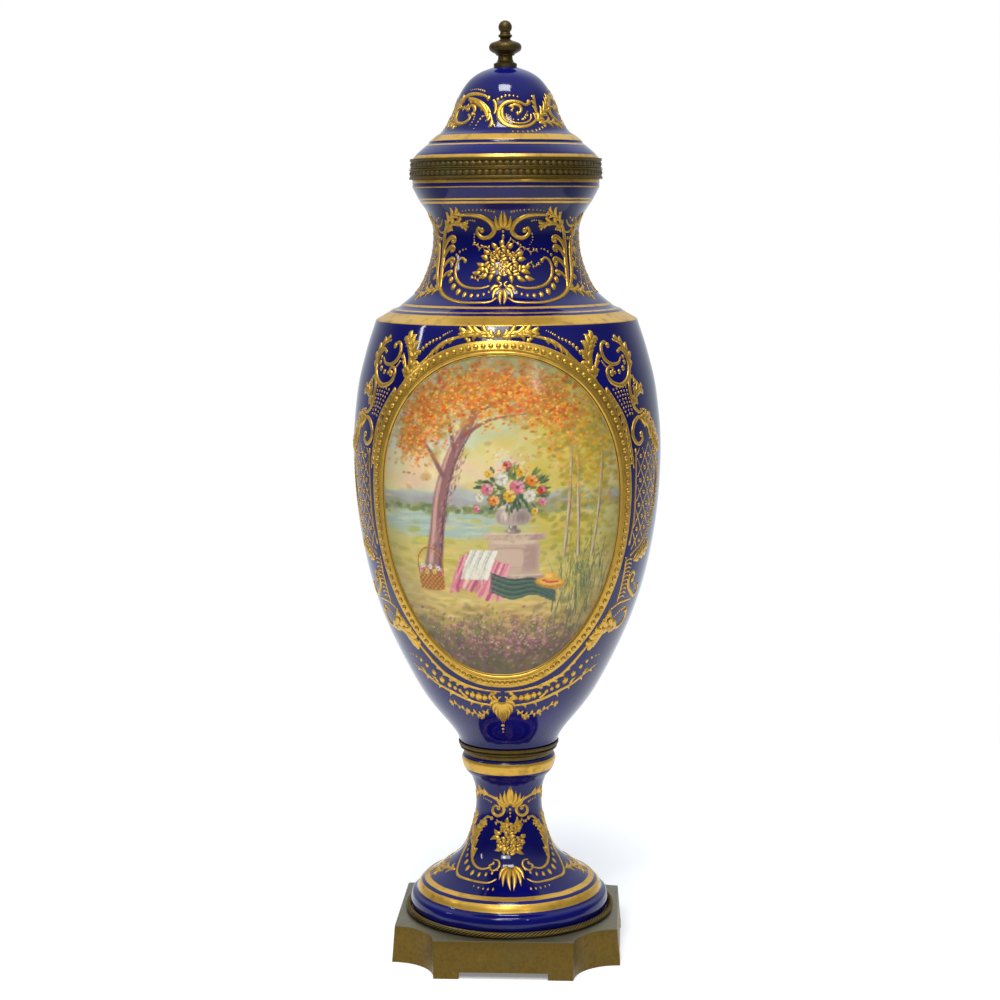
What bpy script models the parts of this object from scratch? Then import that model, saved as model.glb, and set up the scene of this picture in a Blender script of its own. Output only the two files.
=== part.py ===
"""Covered porcelain amphora vase with bronze mounts, on a bronze plinth.

Metres, +Z up. The origin is the middle of the underside and the painted oval faces -Y.
The pieces stand on each other, so every height is counted up from the plinth.
"""

import math

import bmesh
import bpy
from mathutils import Matrix, Vector

# Fits
JOINT_GAP = 0.0003
LID_CLEARANCE = 0.0012

# Plinth: a square bronze casting with hollowed corners, battered sides and bracket feet
PLINTH_HEIGHT = 0.0366
PLINTH_TOP_WIDTH = 0.2150
PLINTH_BOTTOM_WIDTH = 0.2212
PLINTH_CORNER_RADIUS = 0.0440
PLINTH_WALL = 0.0060
PLINTH_TOP_PLATE = 0.0055
BRACKET_OPENING_WIDTH = 0.0850
BRACKET_OPENING_HEIGHT = 0.0065

# Twisted ring on the plinth, close round the bottom of the foot
TWIST_RADIUS = 0.0031
TWIST_STRANDS = 5

# Foot: a hollow porcelain socle, given from its top down
FOOT_TOP_RADIUS = 0.0434
FOOT_BULB_RADIUS = 0.0464
FOOT_BULB_DROP = 0.0066
FOOT_STEM_RADIUS = 0.0324
FOOT_STEM_DROP = 0.0362
FOOT_FLARE_RADIUS = 0.0812
FOOT_FLARE_DROP = 0.0834
FOOT_STEP = 0.0020
FOOT_OVOLO_DROP = 0.0207
FOOT_ROLL_RADIUS = 0.0977
FOOT_ROLL_HEIGHT = 0.0112
FOOT_UNDERCUT = 0.0025
FOOT_WALL = 0.0050

# Bronze collar between the foot and the body
COLLAR_HEIGHT = 0.0114
COLLAR_TOP_RADIUS = 0.0492
COLLAR_BOTTOM_RADIUS = 0.0442
COLLAR_BORE_RADIUS = 0.0240

# Body: one hollow porcelain piece, given from its narrow end up to the rim
BODY_WALL = 0.0050
BODY_FLOOR = 0.0080
BODY_BASE_RADIUS = 0.0478
BELLY_RADIUS = 0.1484
BELLY_RISE = 0.2850
SHOULDER_RADIUS = 0.1262
SHOULDER_RISE = 0.1245
NECK_FOOT_RADIUS = 0.1020
NECK_FOOT_RISE = 0.0160
NECK_RADIUS = 0.0693
NECK_RISE = 0.0670
RIM_RADIUS = 0.0889
RIM_RISE = 0.0450
RIM_COLLAR_HEIGHT = 0.0155

# Oval relief frame round the painted panel, on the front of the belly
PANEL_HALF_ANGLE = math.radians(51.0)
PANEL_TOP_MARGIN = 0.0167
PANEL_BOTTOM_MARGIN = 0.0802
PANEL_FULLNESS = 2.3
FRAME_WIDTH = 0.0160
FRAME_RELIEF = 0.0024

# Bronze bands: one round the rim of the neck, one round the rim of the lid
BAND_THICKNESS = 0.0028
BAND_LIP = 0.0012
NECK_BAND_HEIGHT = 0.0098
LID_BAND_HEIGHT = 0.0095

# Lid: a hollow porcelain bell with a flange that drops into the neck, given from its rim up
LID_WALL = 0.0050
LID_RIM_RADIUS = 0.0882
LID_RIM_RISE = 0.0083
LID_SKIRT_RADIUS = 0.0728
LID_SKIRT_RISE = 0.0157
LID_CROWN_RADIUS = 0.0448
LID_CROWN_RISE = 0.0408
LID_SEAT_RADIUS = 0.0122
LID_SEAT_RISE = 0.0282
FLANGE_DEPTH = 0.0135
FLANGE_WALL = 0.0042

# Finial: a turned bronze knob with a ball, given from its base up
FINIAL_BASE_RADIUS = 0.0110
FINIAL_BASE_HEIGHT = 0.0030
FINIAL_STEM_RADIUS = 0.0069
FINIAL_STEM_HEIGHT = 0.0081
FINIAL_KNOB_RADIUS = 0.0153
FINIAL_KNOB_HEIGHT = 0.0149
FINIAL_NECK_RADIUS = 0.0050
FINIAL_NECK_HEIGHT = 0.0069
FINIAL_BALL_RADIUS = 0.0064

# Sides of the turned pieces, multiples of 4 so that each reaches its radius on both axes.
# The body, the bands and the lid share one number, so that their flats lie against each other.
RIM_SIDES = 32
FOOT_SIDES = 28
COLLAR_SIDES = 20
FINIAL_SIDES = 16
TWIST_STATIONS = 44
FRAME_STATIONS = 32
CORNER_STEPS = 6

# Merge distance of the turned meshes, well under every gap
MERGE_DISTANCE = 0.00002

# Heights of the seats, worked out from the plinth up
FOOT_HEIGHT = FOOT_STEM_DROP + FOOT_BULB_DROP + FOOT_FLARE_DROP + FOOT_OVOLO_DROP + FOOT_ROLL_HEIGHT
BODY_HEIGHT = BELLY_RISE + SHOULDER_RISE + NECK_FOOT_RISE + NECK_RISE + RIM_RISE + RIM_COLLAR_HEIGHT
LID_HEIGHT = LID_RIM_RISE + LID_SKIRT_RISE + LID_CROWN_RISE + LID_SEAT_RISE
FOOT_BASE = PLINTH_HEIGHT + JOINT_GAP
FOOT_TOP = FOOT_BASE + FOOT_HEIGHT
COLLAR_BASE = FOOT_TOP + JOINT_GAP
COLLAR_TOP = COLLAR_BASE + COLLAR_HEIGHT
BODY_BASE = COLLAR_TOP + JOINT_GAP
RIM_TOP = BODY_BASE + BODY_HEIGHT
NECK_BAND_TOP = RIM_TOP + JOINT_GAP + BAND_LIP
LID_BAND_BASE = NECK_BAND_TOP + JOINT_GAP
LID_BASE = LID_BAND_BASE + BAND_LIP + JOINT_GAP
LID_TOP = LID_BASE + LID_HEIGHT
FINIAL_BASE = LID_TOP + JOINT_GAP


def point(radius, height):
    """A point of a turned outline."""
    return Vector((radius, height))


def between(start, end, shares):
    """Points on the way from start to end, each by its share of the radius and of the height."""
    points = []
    for radius_share, height_share in shares:
        radius = start.x + (end.x - start.x) * radius_share
        height = start.y + (end.y - start.y) * height_share
        points.append(point(radius, height))
    return points


def smooth(points, steps=2):
    """A Catmull-Rom curve through the points, with the given number of steps between two of them."""
    ends = [points[0] * 2 - points[1]] + points + [points[-1] * 2 - points[-2]]
    curve = []
    for before, start, end, after in zip(ends, ends[1:], ends[2:], ends[3:]):
        for step in range(steps):
            t = step / steps
            linear = (end - before) * t
            square = (before * 2 - start * 5 + end * 4 - after) * t ** 2
            cubic = (start * 3 - before - end * 3 + after) * t ** 3
            curve.append((start * 2 + linear + square + cubic) * 0.5)
    curve.append(points[-1])
    return curve


def arc(centre, radius, start_degrees, end_degrees, steps):
    """Points on an arc of an outline; 0 degrees points outwards and 90 upwards."""
    points = []
    for step in range(steps + 1):
        angle = math.radians(start_degrees + (end_degrees - start_degrees) * step / steps)
        points.append(centre + point(math.cos(angle), math.sin(angle)) * radius)
    return points


def inset(curve, wall, stride):
    """The inner side of a wall, listed upwards; the curve is its outer side, listed downwards."""
    inner = []
    last = len(curve) - 1
    for index in range(0, last + 1, stride):
        along = curve[min(index + 1, last)] - curve[max(index - 1, 0)]
        inward = point(along.y, -along.x).normalized()
        inner.append(curve[index] + inward * wall)
    return inner[::-1]


def radius_at(curve, height):
    """Radius at a height of a curve that runs downwards."""
    for upper, lower in zip(curve, curve[1:]):
        if lower.y <= height < upper.y:
            share = (upper.y - height) / (upper.y - lower.y)
            return upper.x + (lower.x - upper.x) * share
    return curve[-1].x


def make_collection(name):
    collection = bpy.data.collections.new(name)
    bpy.context.scene.collection.children.link(collection)
    return collection


def make_material(name, colour, roughness, metallic, coat=0.0):
    material = bpy.data.materials.new(name)
    material.use_nodes = True
    shader = material.node_tree.nodes["Principled BSDF"]
    shader.inputs["Base Color"].default_value = (*colour, 1.0)
    shader.inputs["Roughness"].default_value = roughness
    shader.inputs["Metallic"].default_value = metallic
    shader.inputs["Coat Weight"].default_value = coat
    material.diffuse_color = (*colour, 1.0)
    return material


def place(name, mesh, material, collection):
    """Put a mesh in the collection as a named object with its material."""
    item = bpy.data.objects.new(name, mesh)
    collection.objects.link(item)
    mesh.materials.append(material)
    return item


def finished_mesh(name, bm):
    mesh = bpy.data.meshes.new(name)
    bm.to_mesh(mesh)
    bm.free()
    return mesh


def guide(item):
    """Leave a cutter in the file as a wire guide that is not part of the object."""
    item.hide_render = True
    item.display_type = "WIRE"
    return item


def combine(item, tool, operation):
    """Cut the tool out of the item, or join it to the item, by a Boolean modifier."""
    boolean = item.modifiers.new(tool.name, "BOOLEAN")
    boolean.operation = operation
    boolean.object = tool


def turned(name, outline, closed, sides, material, collection):
    """A turned piece: its outline runs down the outer side and up the inner one."""
    corners = [(corner.x, 0.0, corner.y) for corner in outline]
    edges = [(index, index + 1) for index in range(len(corners) - 1)]
    if closed:
        edges.append((len(corners) - 1, 0))
    mesh = bpy.data.meshes.new(name)
    mesh.from_pydata(corners, edges, [])
    item = place(name, mesh, material, collection)
    screw = item.modifiers.new("Turn", "SCREW")
    screw.axis = "Z"
    screw.angle = math.tau
    screw.steps = sides
    screw.render_steps = sides
    screw.use_merge_vertices = True
    screw.merge_threshold = MERGE_DISTANCE
    screw.use_smooth_shade = True
    return item


def skin_rings(rings):
    """Faces from each ring of vertices to the next, and from the last to the first."""
    bm = bmesh.new()
    loops = [[bm.verts.new(corner) for corner in ring] for ring in rings]
    for ring, following in zip(loops, loops[1:] + loops[:1]):
        for index, corner in enumerate(ring):
            beside = (index + 1) % len(ring)
            bm.faces.new((corner, ring[beside], following[beside], following[index]))
    bmesh.ops.recalc_face_normals(bm, faces=bm.faces)
    return bm


def plinth_outline(side, corner, radius):
    """A square whose sides lie at side, its corners hollowed by arcs about the points at corner."""
    swing = math.asin((corner - side) / radius)
    points = []
    for quarter in range(4):
        turn = Matrix.Rotation(quarter * math.pi / 2, 2)
        for step in range(CORNER_STEPS + 1):
            angle = math.pi * 1.5 - swing - (math.pi / 2 - swing * 2) * step / CORNER_STEPS
            arm = point(math.cos(angle), math.sin(angle)) * radius
            points.append(turn @ (point(corner, corner) + arm))
    return points


def loft(name, lower, lower_height, upper, upper_height):
    """A closed solid between two outlines with the same number of points."""
    bm = bmesh.new()
    rings = []
    for outline, height in ((lower, lower_height), (upper, upper_height)):
        rings.append([bm.verts.new((*corner, height)) for corner in outline])
    edges = []
    for ring in rings:
        bm.faces.new(ring)
        for start, end in zip(ring, ring[1:] + ring[:1]):
            edges.append(bm.edges.get((start, end)))
    bmesh.ops.bridge_loops(bm, edges=edges)
    bmesh.ops.recalc_face_normals(bm, faces=bm.faces)
    return finished_mesh(name, bm)


def plinth_hollow():
    """The space under the plinth, one wall in from its sides and one plate down from its top."""
    top = PLINTH_TOP_WIDTH / 2
    bottom = PLINTH_BOTTOM_WIDTH / 2
    batter = (bottom - top) / PLINTH_HEIGHT
    floor = -PLINTH_TOP_PLATE
    ceiling = PLINTH_HEIGHT - PLINTH_TOP_PLATE
    lower_corner = bottom - batter * floor
    upper_corner = bottom - batter * ceiling
    radius = PLINTH_CORNER_RADIUS + PLINTH_WALL
    lower = plinth_outline(lower_corner - PLINTH_WALL, lower_corner, radius)
    upper = plinth_outline(upper_corner - PLINTH_WALL, upper_corner, radius)
    return loft("plinth_hollow", lower, floor, upper, ceiling)


def bracket_opening(name, quarter):
    """A bar through two opposite sides of the plinth, between its bracket feet."""
    bm = bmesh.new()
    bmesh.ops.create_cube(bm, size=1.0)
    size = Vector((BRACKET_OPENING_WIDTH, PLINTH_BOTTOM_WIDTH * 1.2, BRACKET_OPENING_HEIGHT * 2))
    bmesh.ops.scale(bm, vec=size, verts=bm.verts)
    turn = Matrix.Rotation(quarter * math.pi / 2, 3, "Z")
    bmesh.ops.rotate(bm, cent=(0.0, 0.0, 0.0), matrix=turn, verts=bm.verts)
    return finished_mesh(name, bm)


def build_plinth(bronze, collection, cutters):
    top = PLINTH_TOP_WIDTH / 2
    bottom = PLINTH_BOTTOM_WIDTH / 2
    lower = plinth_outline(bottom, bottom, PLINTH_CORNER_RADIUS)
    upper = plinth_outline(top, top, PLINTH_CORNER_RADIUS)
    plinth = place("plinth", loft("plinth", lower, 0.0, upper, PLINTH_HEIGHT), bronze, collection)
    combine(plinth, guide(place("plinth_hollow", plinth_hollow(), bronze, cutters)), "DIFFERENCE")
    for quarter, name in enumerate(("opening_front_back", "opening_left_right")):
        bar = place(name, bracket_opening(name, quarter), bronze, cutters)
        combine(plinth, guide(bar), "DIFFERENCE")


def build_twisted_ring(bronze, collection):
    """A ring of strands, each one strand further round its section at every station."""
    centre_radius = FOOT_ROLL_RADIUS + TWIST_RADIUS - FOOT_UNDERCUT / 4
    centre_height = PLINTH_HEIGHT + JOINT_GAP + TWIST_RADIUS
    rings = []
    for station in range(TWIST_STATIONS):
        turn = math.tau * station / TWIST_STATIONS
        ring = []
        for strand in range(TWIST_STRANDS):
            roll = math.tau * (strand + station) / TWIST_STRANDS
            radius = centre_radius + TWIST_RADIUS * math.cos(roll)
            height = centre_height + TWIST_RADIUS * math.sin(roll)
            ring.append((radius * math.cos(turn), radius * math.sin(turn), height))
        rings.append(ring)
    place("twisted_ring", finished_mesh("twisted_ring", skin_rings(rings)), bronze, collection)


def build_foot(porcelain, collection):
    """The hollow socle: bulb, narrow stem, wide flare, step, ovolo and bottom roll."""
    top = point(FOOT_TOP_RADIUS, FOOT_TOP)
    bulb = point(FOOT_BULB_RADIUS, top.y - FOOT_BULB_DROP)
    stem = point(FOOT_STEM_RADIUS, bulb.y - FOOT_STEM_DROP)
    flare = point(FOOT_FLARE_RADIUS, stem.y - FOOT_FLARE_DROP)
    step = point(FOOT_FLARE_RADIUS + FOOT_STEP, flare.y - FOOT_STEP)
    roll = point(FOOT_ROLL_RADIUS, FOOT_BASE + FOOT_ROLL_HEIGHT)
    base = point(FOOT_ROLL_RADIUS - FOOT_UNDERCUT, FOOT_BASE)
    stem_run = between(bulb, stem, ((0.22, 0.26), (0.72, 0.52)))
    flare_run = between(stem, flare, ((0.055, 0.33), (0.27, 0.66), (0.65, 0.86)))
    outer = [top] + smooth([bulb, *stem_run, stem, *flare_run, flare])
    edge = between(step, roll, ((0.0, 0.0), (0.36, 0.23), (0.58, 0.55), (0.88, 0.69), (1.0, 1.0)))
    edge += between(roll, base, ((0.35, 0.5), (1.0, 1.0)))
    inner = [point(base.x - FOOT_WALL, base.y), point(roll.x - FOOT_WALL - FOOT_UNDERCUT, roll.y)]
    inner += inset(outer[1:], FOOT_WALL, 2)
    crown = point(0.0, bulb.y)
    inner.append(point(inner[-1].x, crown.y))
    outline = [point(0.0, top.y), *outer, *edge, *inner, crown]
    turned("foot", outline, False, FOOT_SIDES, porcelain, collection)


def build_collar(bronze, collection):
    """The moulded ring under the body: a lip, a roll, a second roll and a fillet."""
    lip = point(COLLAR_TOP_RADIUS, COLLAR_TOP)
    fillet = point(COLLAR_BOTTOM_RADIUS, COLLAR_BASE)
    outline = between(lip, fillet, ((0.0, 0.0), (0.04, 0.25), (0.55, 0.36), (0.28, 0.52), (0.85, 0.72), (1.0, 1.0)))
    outline.append(point(COLLAR_BORE_RADIUS, COLLAR_BASE))
    outline.append(point(COLLAR_BORE_RADIUS, COLLAR_TOP))
    turned("body_collar", outline, True, COLLAR_SIDES, bronze, collection)


def body_curves():
    """Outer side of the body from the rim down to the shoulder, and on down to the narrow end."""
    base = point(BODY_BASE_RADIUS, BODY_BASE)
    belly = point(BELLY_RADIUS, base.y + BELLY_RISE)
    shoulder = point(SHOULDER_RADIUS, belly.y + SHOULDER_RISE)
    neck_foot = point(NECK_FOOT_RADIUS, shoulder.y + NECK_FOOT_RISE)
    neck = point(NECK_RADIUS, neck_foot.y + NECK_RISE)
    rim = point(RIM_RADIUS, neck.y + RIM_RISE)
    throat = between(rim, neck, ((0.30, 0.25), (0.80, 0.60)))
    waist = between(neck, neck_foot, ((0.10, 0.36), (0.46, 0.755)))
    steps = between(neck_foot, shoulder, ((0.15, 0.11), (0.30, 0.18), (0.52, 0.42), (0.95, 0.78)))
    swell = between(shoulder, belly, ((0.40, 0.22), (0.80, 0.53)))
    taper = between(belly, base, ((0.06, 0.265), (0.246, 0.53), (0.607, 0.80), (0.933, 0.955)))
    upper = [point(RIM_RADIUS, RIM_TOP)] + smooth([rim, *throat, neck, *waist, neck_foot]) + steps
    lower = smooth([shoulder, *swell, belly, *taper, base])
    return upper, lower


def oval_path():
    """The middle line of the oval frame, as (angle from the front, height), in a superellipse."""
    lowest = BODY_BASE + PANEL_BOTTOM_MARGIN
    highest = BODY_BASE + BELLY_RISE + SHOULDER_RISE - PANEL_TOP_MARGIN
    power = 2 / PANEL_FULLNESS
    path = []
    for station in range(FRAME_STATIONS):
        turn = math.tau * (station + 0.5) / FRAME_STATIONS
        across = math.copysign(abs(math.cos(turn)) ** power, math.cos(turn))
        up = math.copysign(abs(math.sin(turn)) ** power, math.sin(turn))
        height = (lowest + highest) / 2 + (highest - lowest) / 2 * up
        path.append(point(PANEL_HALF_ANGLE * across, height))
    return path


def oval_frame(curve):
    """The raised oval: a flat outer band, then a rounded ridge that falls to the panel."""
    half = FRAME_WIDTH / 2
    section = (
        (half, -FRAME_RELIEF), (half, FRAME_RELIEF * 0.4), (-half * 0.15, FRAME_RELIEF * 0.5),
        (-half * 0.6, FRAME_RELIEF), (-half, -FRAME_RELIEF),
    )
    path = oval_path()
    rings = []
    for index, spot in enumerate(path):
        along = path[(index + 1) % len(path)] - path[index - 1]
        outward = point(along.y, -along.x * radius_at(curve, spot.y)).normalized()
        ring = []
        for offset, relief in section:
            height = spot.y + outward.y * offset
            surface = radius_at(curve, height)
            angle = spot.x + outward.x * offset / surface
            radius = surface + relief
            ring.append((radius * math.sin(angle), -radius * math.cos(angle), height))
        rings.append(ring)
    return finished_mesh("oval_frame", skin_rings(rings))


def build_body(porcelain, collection, cutters):
    """The hollow body with the oval frame raised on its front."""
    upper, lower = body_curves()
    floor = point(0.0, BODY_BASE + BODY_FLOOR)
    inner = [spot for spot in inset(lower, BODY_WALL, 2) if spot.y > floor.y + BODY_WALL]
    corner = point(radius_at(lower, floor.y) - BODY_WALL, floor.y)
    inner += [spot for spot in inset(upper[1:], BODY_WALL, 3) if spot.y > inner[-1].y]
    rim = point(RIM_RADIUS - BODY_WALL, RIM_TOP)
    outline = [floor, corner, *inner, rim, *upper, *lower]
    outline.append(point(0.0, BODY_BASE))
    body = turned("vase_body", outline, False, RIM_SIDES, porcelain, collection)
    frame = place("oval_frame", oval_frame(upper + lower), porcelain, cutters)
    combine(body, guide(frame), "UNION")


def band_face(radius, top, bottom):
    """Outer side of a band: a fillet above and below a slightly sunk, rounded field."""
    sunk = radius - BAND_THICKNESS * 0.3
    upper = point(radius, top)
    lower = point(sunk, bottom)
    shares = ((0.0, 0.0), (0.9, 0.17), (0.2, 0.5), (0.9, 0.83), (0.0, 1.0))
    return between(upper, lower, shares)


def build_bands(bronze, collection):
    """The two bands, each with a lip over the edge of its porcelain; they meet face to face."""
    bore = RIM_RADIUS + JOINT_GAP
    lip = RIM_RADIUS - BODY_WALL
    under_lip = NECK_BAND_TOP - BAND_LIP
    bottom = NECK_BAND_TOP - NECK_BAND_HEIGHT
    face = band_face(bore + BAND_THICKNESS, NECK_BAND_TOP, bottom)
    back = [point(bore, bottom), point(bore, under_lip), point(lip, under_lip), point(lip, NECK_BAND_TOP)]
    turned("neck_band", face + back, True, RIM_SIDES, bronze, collection)

    bore = LID_RIM_RADIUS + JOINT_GAP
    lip = RIM_RADIUS - BODY_WALL - LID_CLEARANCE + JOINT_GAP
    over_lip = LID_BAND_BASE + BAND_LIP
    top = LID_BAND_BASE + LID_BAND_HEIGHT
    face = band_face(bore + BAND_THICKNESS, top, LID_BAND_BASE)
    back = [point(lip, LID_BAND_BASE), point(lip, over_lip), point(bore, over_lip), point(bore, top)]
    turned("lid_band", face + back, True, RIM_SIDES, bronze, collection)


def build_lid(porcelain, collection):
    """The hollow bell: crown, waist, skirt with a step, rim, and the flange beneath."""
    rim = point(LID_RIM_RADIUS, LID_BASE + LID_RIM_RISE)
    skirt = point(LID_SKIRT_RADIUS, rim.y + LID_SKIRT_RISE)
    crown = point(LID_CROWN_RADIUS, skirt.y + LID_CROWN_RISE)
    seat = point(LID_SEAT_RADIUS, LID_TOP)
    dome = between(seat, crown, ((0.344, 0.15), (0.62, 0.362), (0.84, 0.66)))
    bell = between(crown, skirt, ((0.20, 0.37), (0.51, 0.735), (0.77, 0.87)))
    skirt_run = between(skirt, rim, ((0.026, 0.115), (0.18, 0.223), (0.48, 0.459), (0.747, 0.694), (0.89, 0.86)))
    outer = [seat, *dome, crown, *bell, skirt, *skirt_run, rim]
    flange = RIM_RADIUS - BODY_WALL - LID_CLEARANCE
    hollow = flange - FLANGE_WALL
    base = [point(rim.x, LID_BASE), point(flange, LID_BASE), point(flange, LID_BASE - FLANGE_DEPTH)]
    base += [point(hollow, LID_BASE - FLANGE_DEPTH), point(hollow, LID_BASE + LID_WALL)]
    inner = [spot for spot in inset(outer, LID_WALL, 3) if spot.x < hollow - LID_WALL / 2]
    outline = [point(0.0, seat.y), *outer, *base, *inner, point(0.0, seat.y - LID_WALL)]
    turned("lid", outline, False, RIM_SIDES, porcelain, collection)


def build_finial(bronze, collection):
    """The knob: base disc, stem, flattened knob, neck with a disc, and the ball."""
    base = point(FINIAL_BASE_RADIUS, FINIAL_BASE + FINIAL_BASE_HEIGHT)
    knob_foot = point(FINIAL_STEM_RADIUS, base.y + FINIAL_STEM_HEIGHT)
    knob_top = point(FINIAL_NECK_RADIUS, knob_foot.y + FINIAL_KNOB_HEIGHT)
    ball = point(0.0, knob_top.y + FINIAL_NECK_HEIGHT + FINIAL_BALL_RADIUS * math.cos(math.asin(0.75)))
    neck = point(FINIAL_NECK_RADIUS, ball.y - FINIAL_BALL_RADIUS)
    outline = arc(ball, FINIAL_BALL_RADIUS, 90.0, -45.0, 5)
    outline += between(knob_top, neck, ((1.0, 0.80), (1.0, 0.62)))
    disc = FINIAL_BALL_RADIUS
    outline += [point(disc, knob_top.y + FINIAL_NECK_HEIGHT * 0.45)]
    outline.append(knob_top)
    widest = point(FINIAL_KNOB_RADIUS, knob_foot.y + FINIAL_KNOB_HEIGHT * 0.47)
    outline += between(knob_top, widest, ((0.25, 0.20), (0.82, 0.52), (1.0, 1.0)))
    outline += between(widest, knob_foot, ((0.14, 0.48), (0.74, 0.86), (0.78, 1.0)))
    outline += between(knob_foot, base, ((0.0, 0.35), (0.30, 0.75), (1.0, 0.96), (1.0, 1.0)))
    outline.append(point(FINIAL_BASE_RADIUS, FINIAL_BASE))
    outline.append(point(0.0, FINIAL_BASE))
    turned("finial", outline, False, FINIAL_SIDES, bronze, collection)


def clear_scene():
    for item in list(bpy.data.objects):
        bpy.data.objects.remove(item, do_unlink=True)


def main():
    clear_scene()
    parts = make_collection("porcelain_amphora_vase")
    cutters = make_collection("cutters")
    porcelain = make_material("cobalt_porcelain", (0.012, 0.018, 0.20), 0.08, 0.0, coat=1.0)
    bronze = make_material("patinated_bronze", (0.20, 0.14, 0.055), 0.45, 0.9)
    build_plinth(bronze, parts, cutters)
    build_twisted_ring(bronze, parts)
    build_foot(porcelain, parts)
    build_collar(bronze, parts)
    build_body(porcelain, parts, cutters)
    build_bands(bronze, parts)
    build_lid(porcelain, parts)
    build_finial(bronze, parts)


main()
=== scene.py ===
"""Dresses the covered porcelain amphora vase: porcelain, bronze mounts, raised gilding, painted panel."""

import math
import random

import bmesh
import bpy
import numpy as np
from mathutils import Matrix, Vector


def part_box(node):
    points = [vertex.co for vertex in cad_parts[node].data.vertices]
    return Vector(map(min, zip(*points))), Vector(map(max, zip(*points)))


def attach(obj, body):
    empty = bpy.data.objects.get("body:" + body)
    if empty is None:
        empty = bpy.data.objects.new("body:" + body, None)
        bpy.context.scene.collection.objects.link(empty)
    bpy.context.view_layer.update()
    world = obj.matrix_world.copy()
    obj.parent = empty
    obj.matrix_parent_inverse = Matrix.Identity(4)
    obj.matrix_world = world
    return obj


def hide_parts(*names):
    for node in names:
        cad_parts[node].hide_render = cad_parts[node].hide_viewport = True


bl_info = {
    "name": "Porcelain Amphora Vase",
    "version": (1, 0, 0),
    "blender": (4, 5, 0),
    "location": "View3D > Sidebar > Amphora Vase",
    "description": "Dresses a covered porcelain vase with bronze mounts, raised gilding and a painted panel",
    "category": "Add Mesh",
}

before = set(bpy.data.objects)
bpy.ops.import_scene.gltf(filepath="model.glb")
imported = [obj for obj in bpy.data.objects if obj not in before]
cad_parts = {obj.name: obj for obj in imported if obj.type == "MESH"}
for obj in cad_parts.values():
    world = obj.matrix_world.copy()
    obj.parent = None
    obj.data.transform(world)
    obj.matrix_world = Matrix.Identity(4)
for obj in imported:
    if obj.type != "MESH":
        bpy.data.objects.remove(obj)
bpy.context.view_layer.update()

MM = 0.001
# Vertices closer than this are one
MERGE = 0.000002
# Edges of the bronze mounts sharper than this stay crisp, in degrees
MOUNT_CREASE = 50.0
# Leaves round each rim band
RIM_LEAVES = 88
# How strongly the glaze bends light
GLAZE_IOR = 1.38
# Share of a round section that the gilding stands off the glaze
GILDING_RELIEF = 0.42
# Shares of the given lobes and reach that an acanthus leaf is laid with
LOBE_SHARE = 0.62
LOBE_REACH = 1.3
# Radii at which places on the gilded walls are counted, in millimetres
BODY_REFERENCE = 146.0
NECK_REFERENCE = 75.0
LID_REFERENCE = 55.0
FOOT_REFERENCE = 40.0
# Heights from which they are counted
NECK_MIDDLE = 680.0
LID_MIDDLE = 815.0
FOOT_MIDDLE = 120.0
# Height of the opening between two bracket feet of the plinth
BRACKET_HEIGHT = 6.5
# Colours of the painted shade in the deepest hollows of the gold and of the bronze, and of the greyer top
# faces of the bronze
GOLD_PAINTED_SHADE = (0.035, 0.014, 0.006)
BRONZE_PAINTED_SHADE = (0.022, 0.018, 0.010)
TOP_GREY = (0.175, 0.168, 0.115)

FOOT_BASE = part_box("foot")[0].z / MM
COLLAR_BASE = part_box("body_collar")[0].z / MM
BODY_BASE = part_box("vase_body")[0].z / MM
LID_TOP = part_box("lid")[1].z / MM
FINIAL_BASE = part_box("finial")[0].z / MM
PLINTH_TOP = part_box("plinth")[1].z / MM


class TurningSettings(bpy.types.PropertyGroup):
    """How finely the turned pieces are made, and their walls."""

    body_segments: bpy.props.IntProperty(
        name="Body Segments", description="Steps round the body and the lid", default=224, min=32, max=512)
    mount_segments: bpy.props.IntProperty(
        name="Mount Segments", description="Steps round the bronze mounts", default=160, min=32, max=512)
    curve_steps: bpy.props.IntProperty(
        name="Curve Steps", description="Steps between two points of an outline", default=7, min=2, max=16)
    porcelain_wall: bpy.props.FloatProperty(
        name="Porcelain Wall", description="Thickness of the porcelain", default=0.005,
        subtype="DISTANCE", unit="LENGTH")
    rope_strands: bpy.props.IntProperty(
        name="Rope Strands", description="Strands in the twisted ring", default=6, min=2, max=12)
    rope_turns: bpy.props.IntProperty(
        name="Rope Turns", description="Times the strands wind round in one lap", default=24, min=4, max=60)


def colour_setting(name, description, default):
    return bpy.props.FloatVectorProperty(
        name=name, description=description, default=default, size=3, subtype="COLOR", min=0.0, max=1.0)


def roughness_setting(name, description, default):
    return bpy.props.FloatProperty(name=name, description=description, default=default, min=0.0, max=1.0)


class FinishSettings(bpy.types.PropertyGroup):
    """Colours and gloss of the finishes."""

    glaze: colour_setting("Glaze", "Cobalt ground", (0.0035, 0.0040, 0.115))
    gold: colour_setting("Gold", "Burnished gilding", (0.60, 0.355, 0.052))
    worn_gold: colour_setting("Worn Gold", "Gilding that is rubbed or dull", (0.27, 0.145, 0.020))
    bronze: colour_setting("Bronze", "Brown patina of the mounts", (0.150, 0.092, 0.014))
    bronze_shade: colour_setting("Bronze Shade", "Dark olive patina in the hollows", (0.055, 0.045, 0.02))
    glaze_roughness: roughness_setting("Glaze Roughness", "Roughness of the fired glaze", 0.07)
    gold_roughness: roughness_setting("Gold Roughness", "Roughness of burnished gold", 0.30)
    bronze_roughness: roughness_setting("Bronze Roughness", "Roughness of the patinated bronze", 0.42)


def finishes():
    return bpy.context.scene.amphora_finish


def turning():
    return bpy.context.scene.amphora_turning


def point(radius, height):
    """A point of a turned outline, in millimetres."""
    return Vector((radius, height))


def heading(angle):
    """A step of length 1 in the direction of an angle in radians."""
    return point(math.cos(angle), math.sin(angle))


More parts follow.
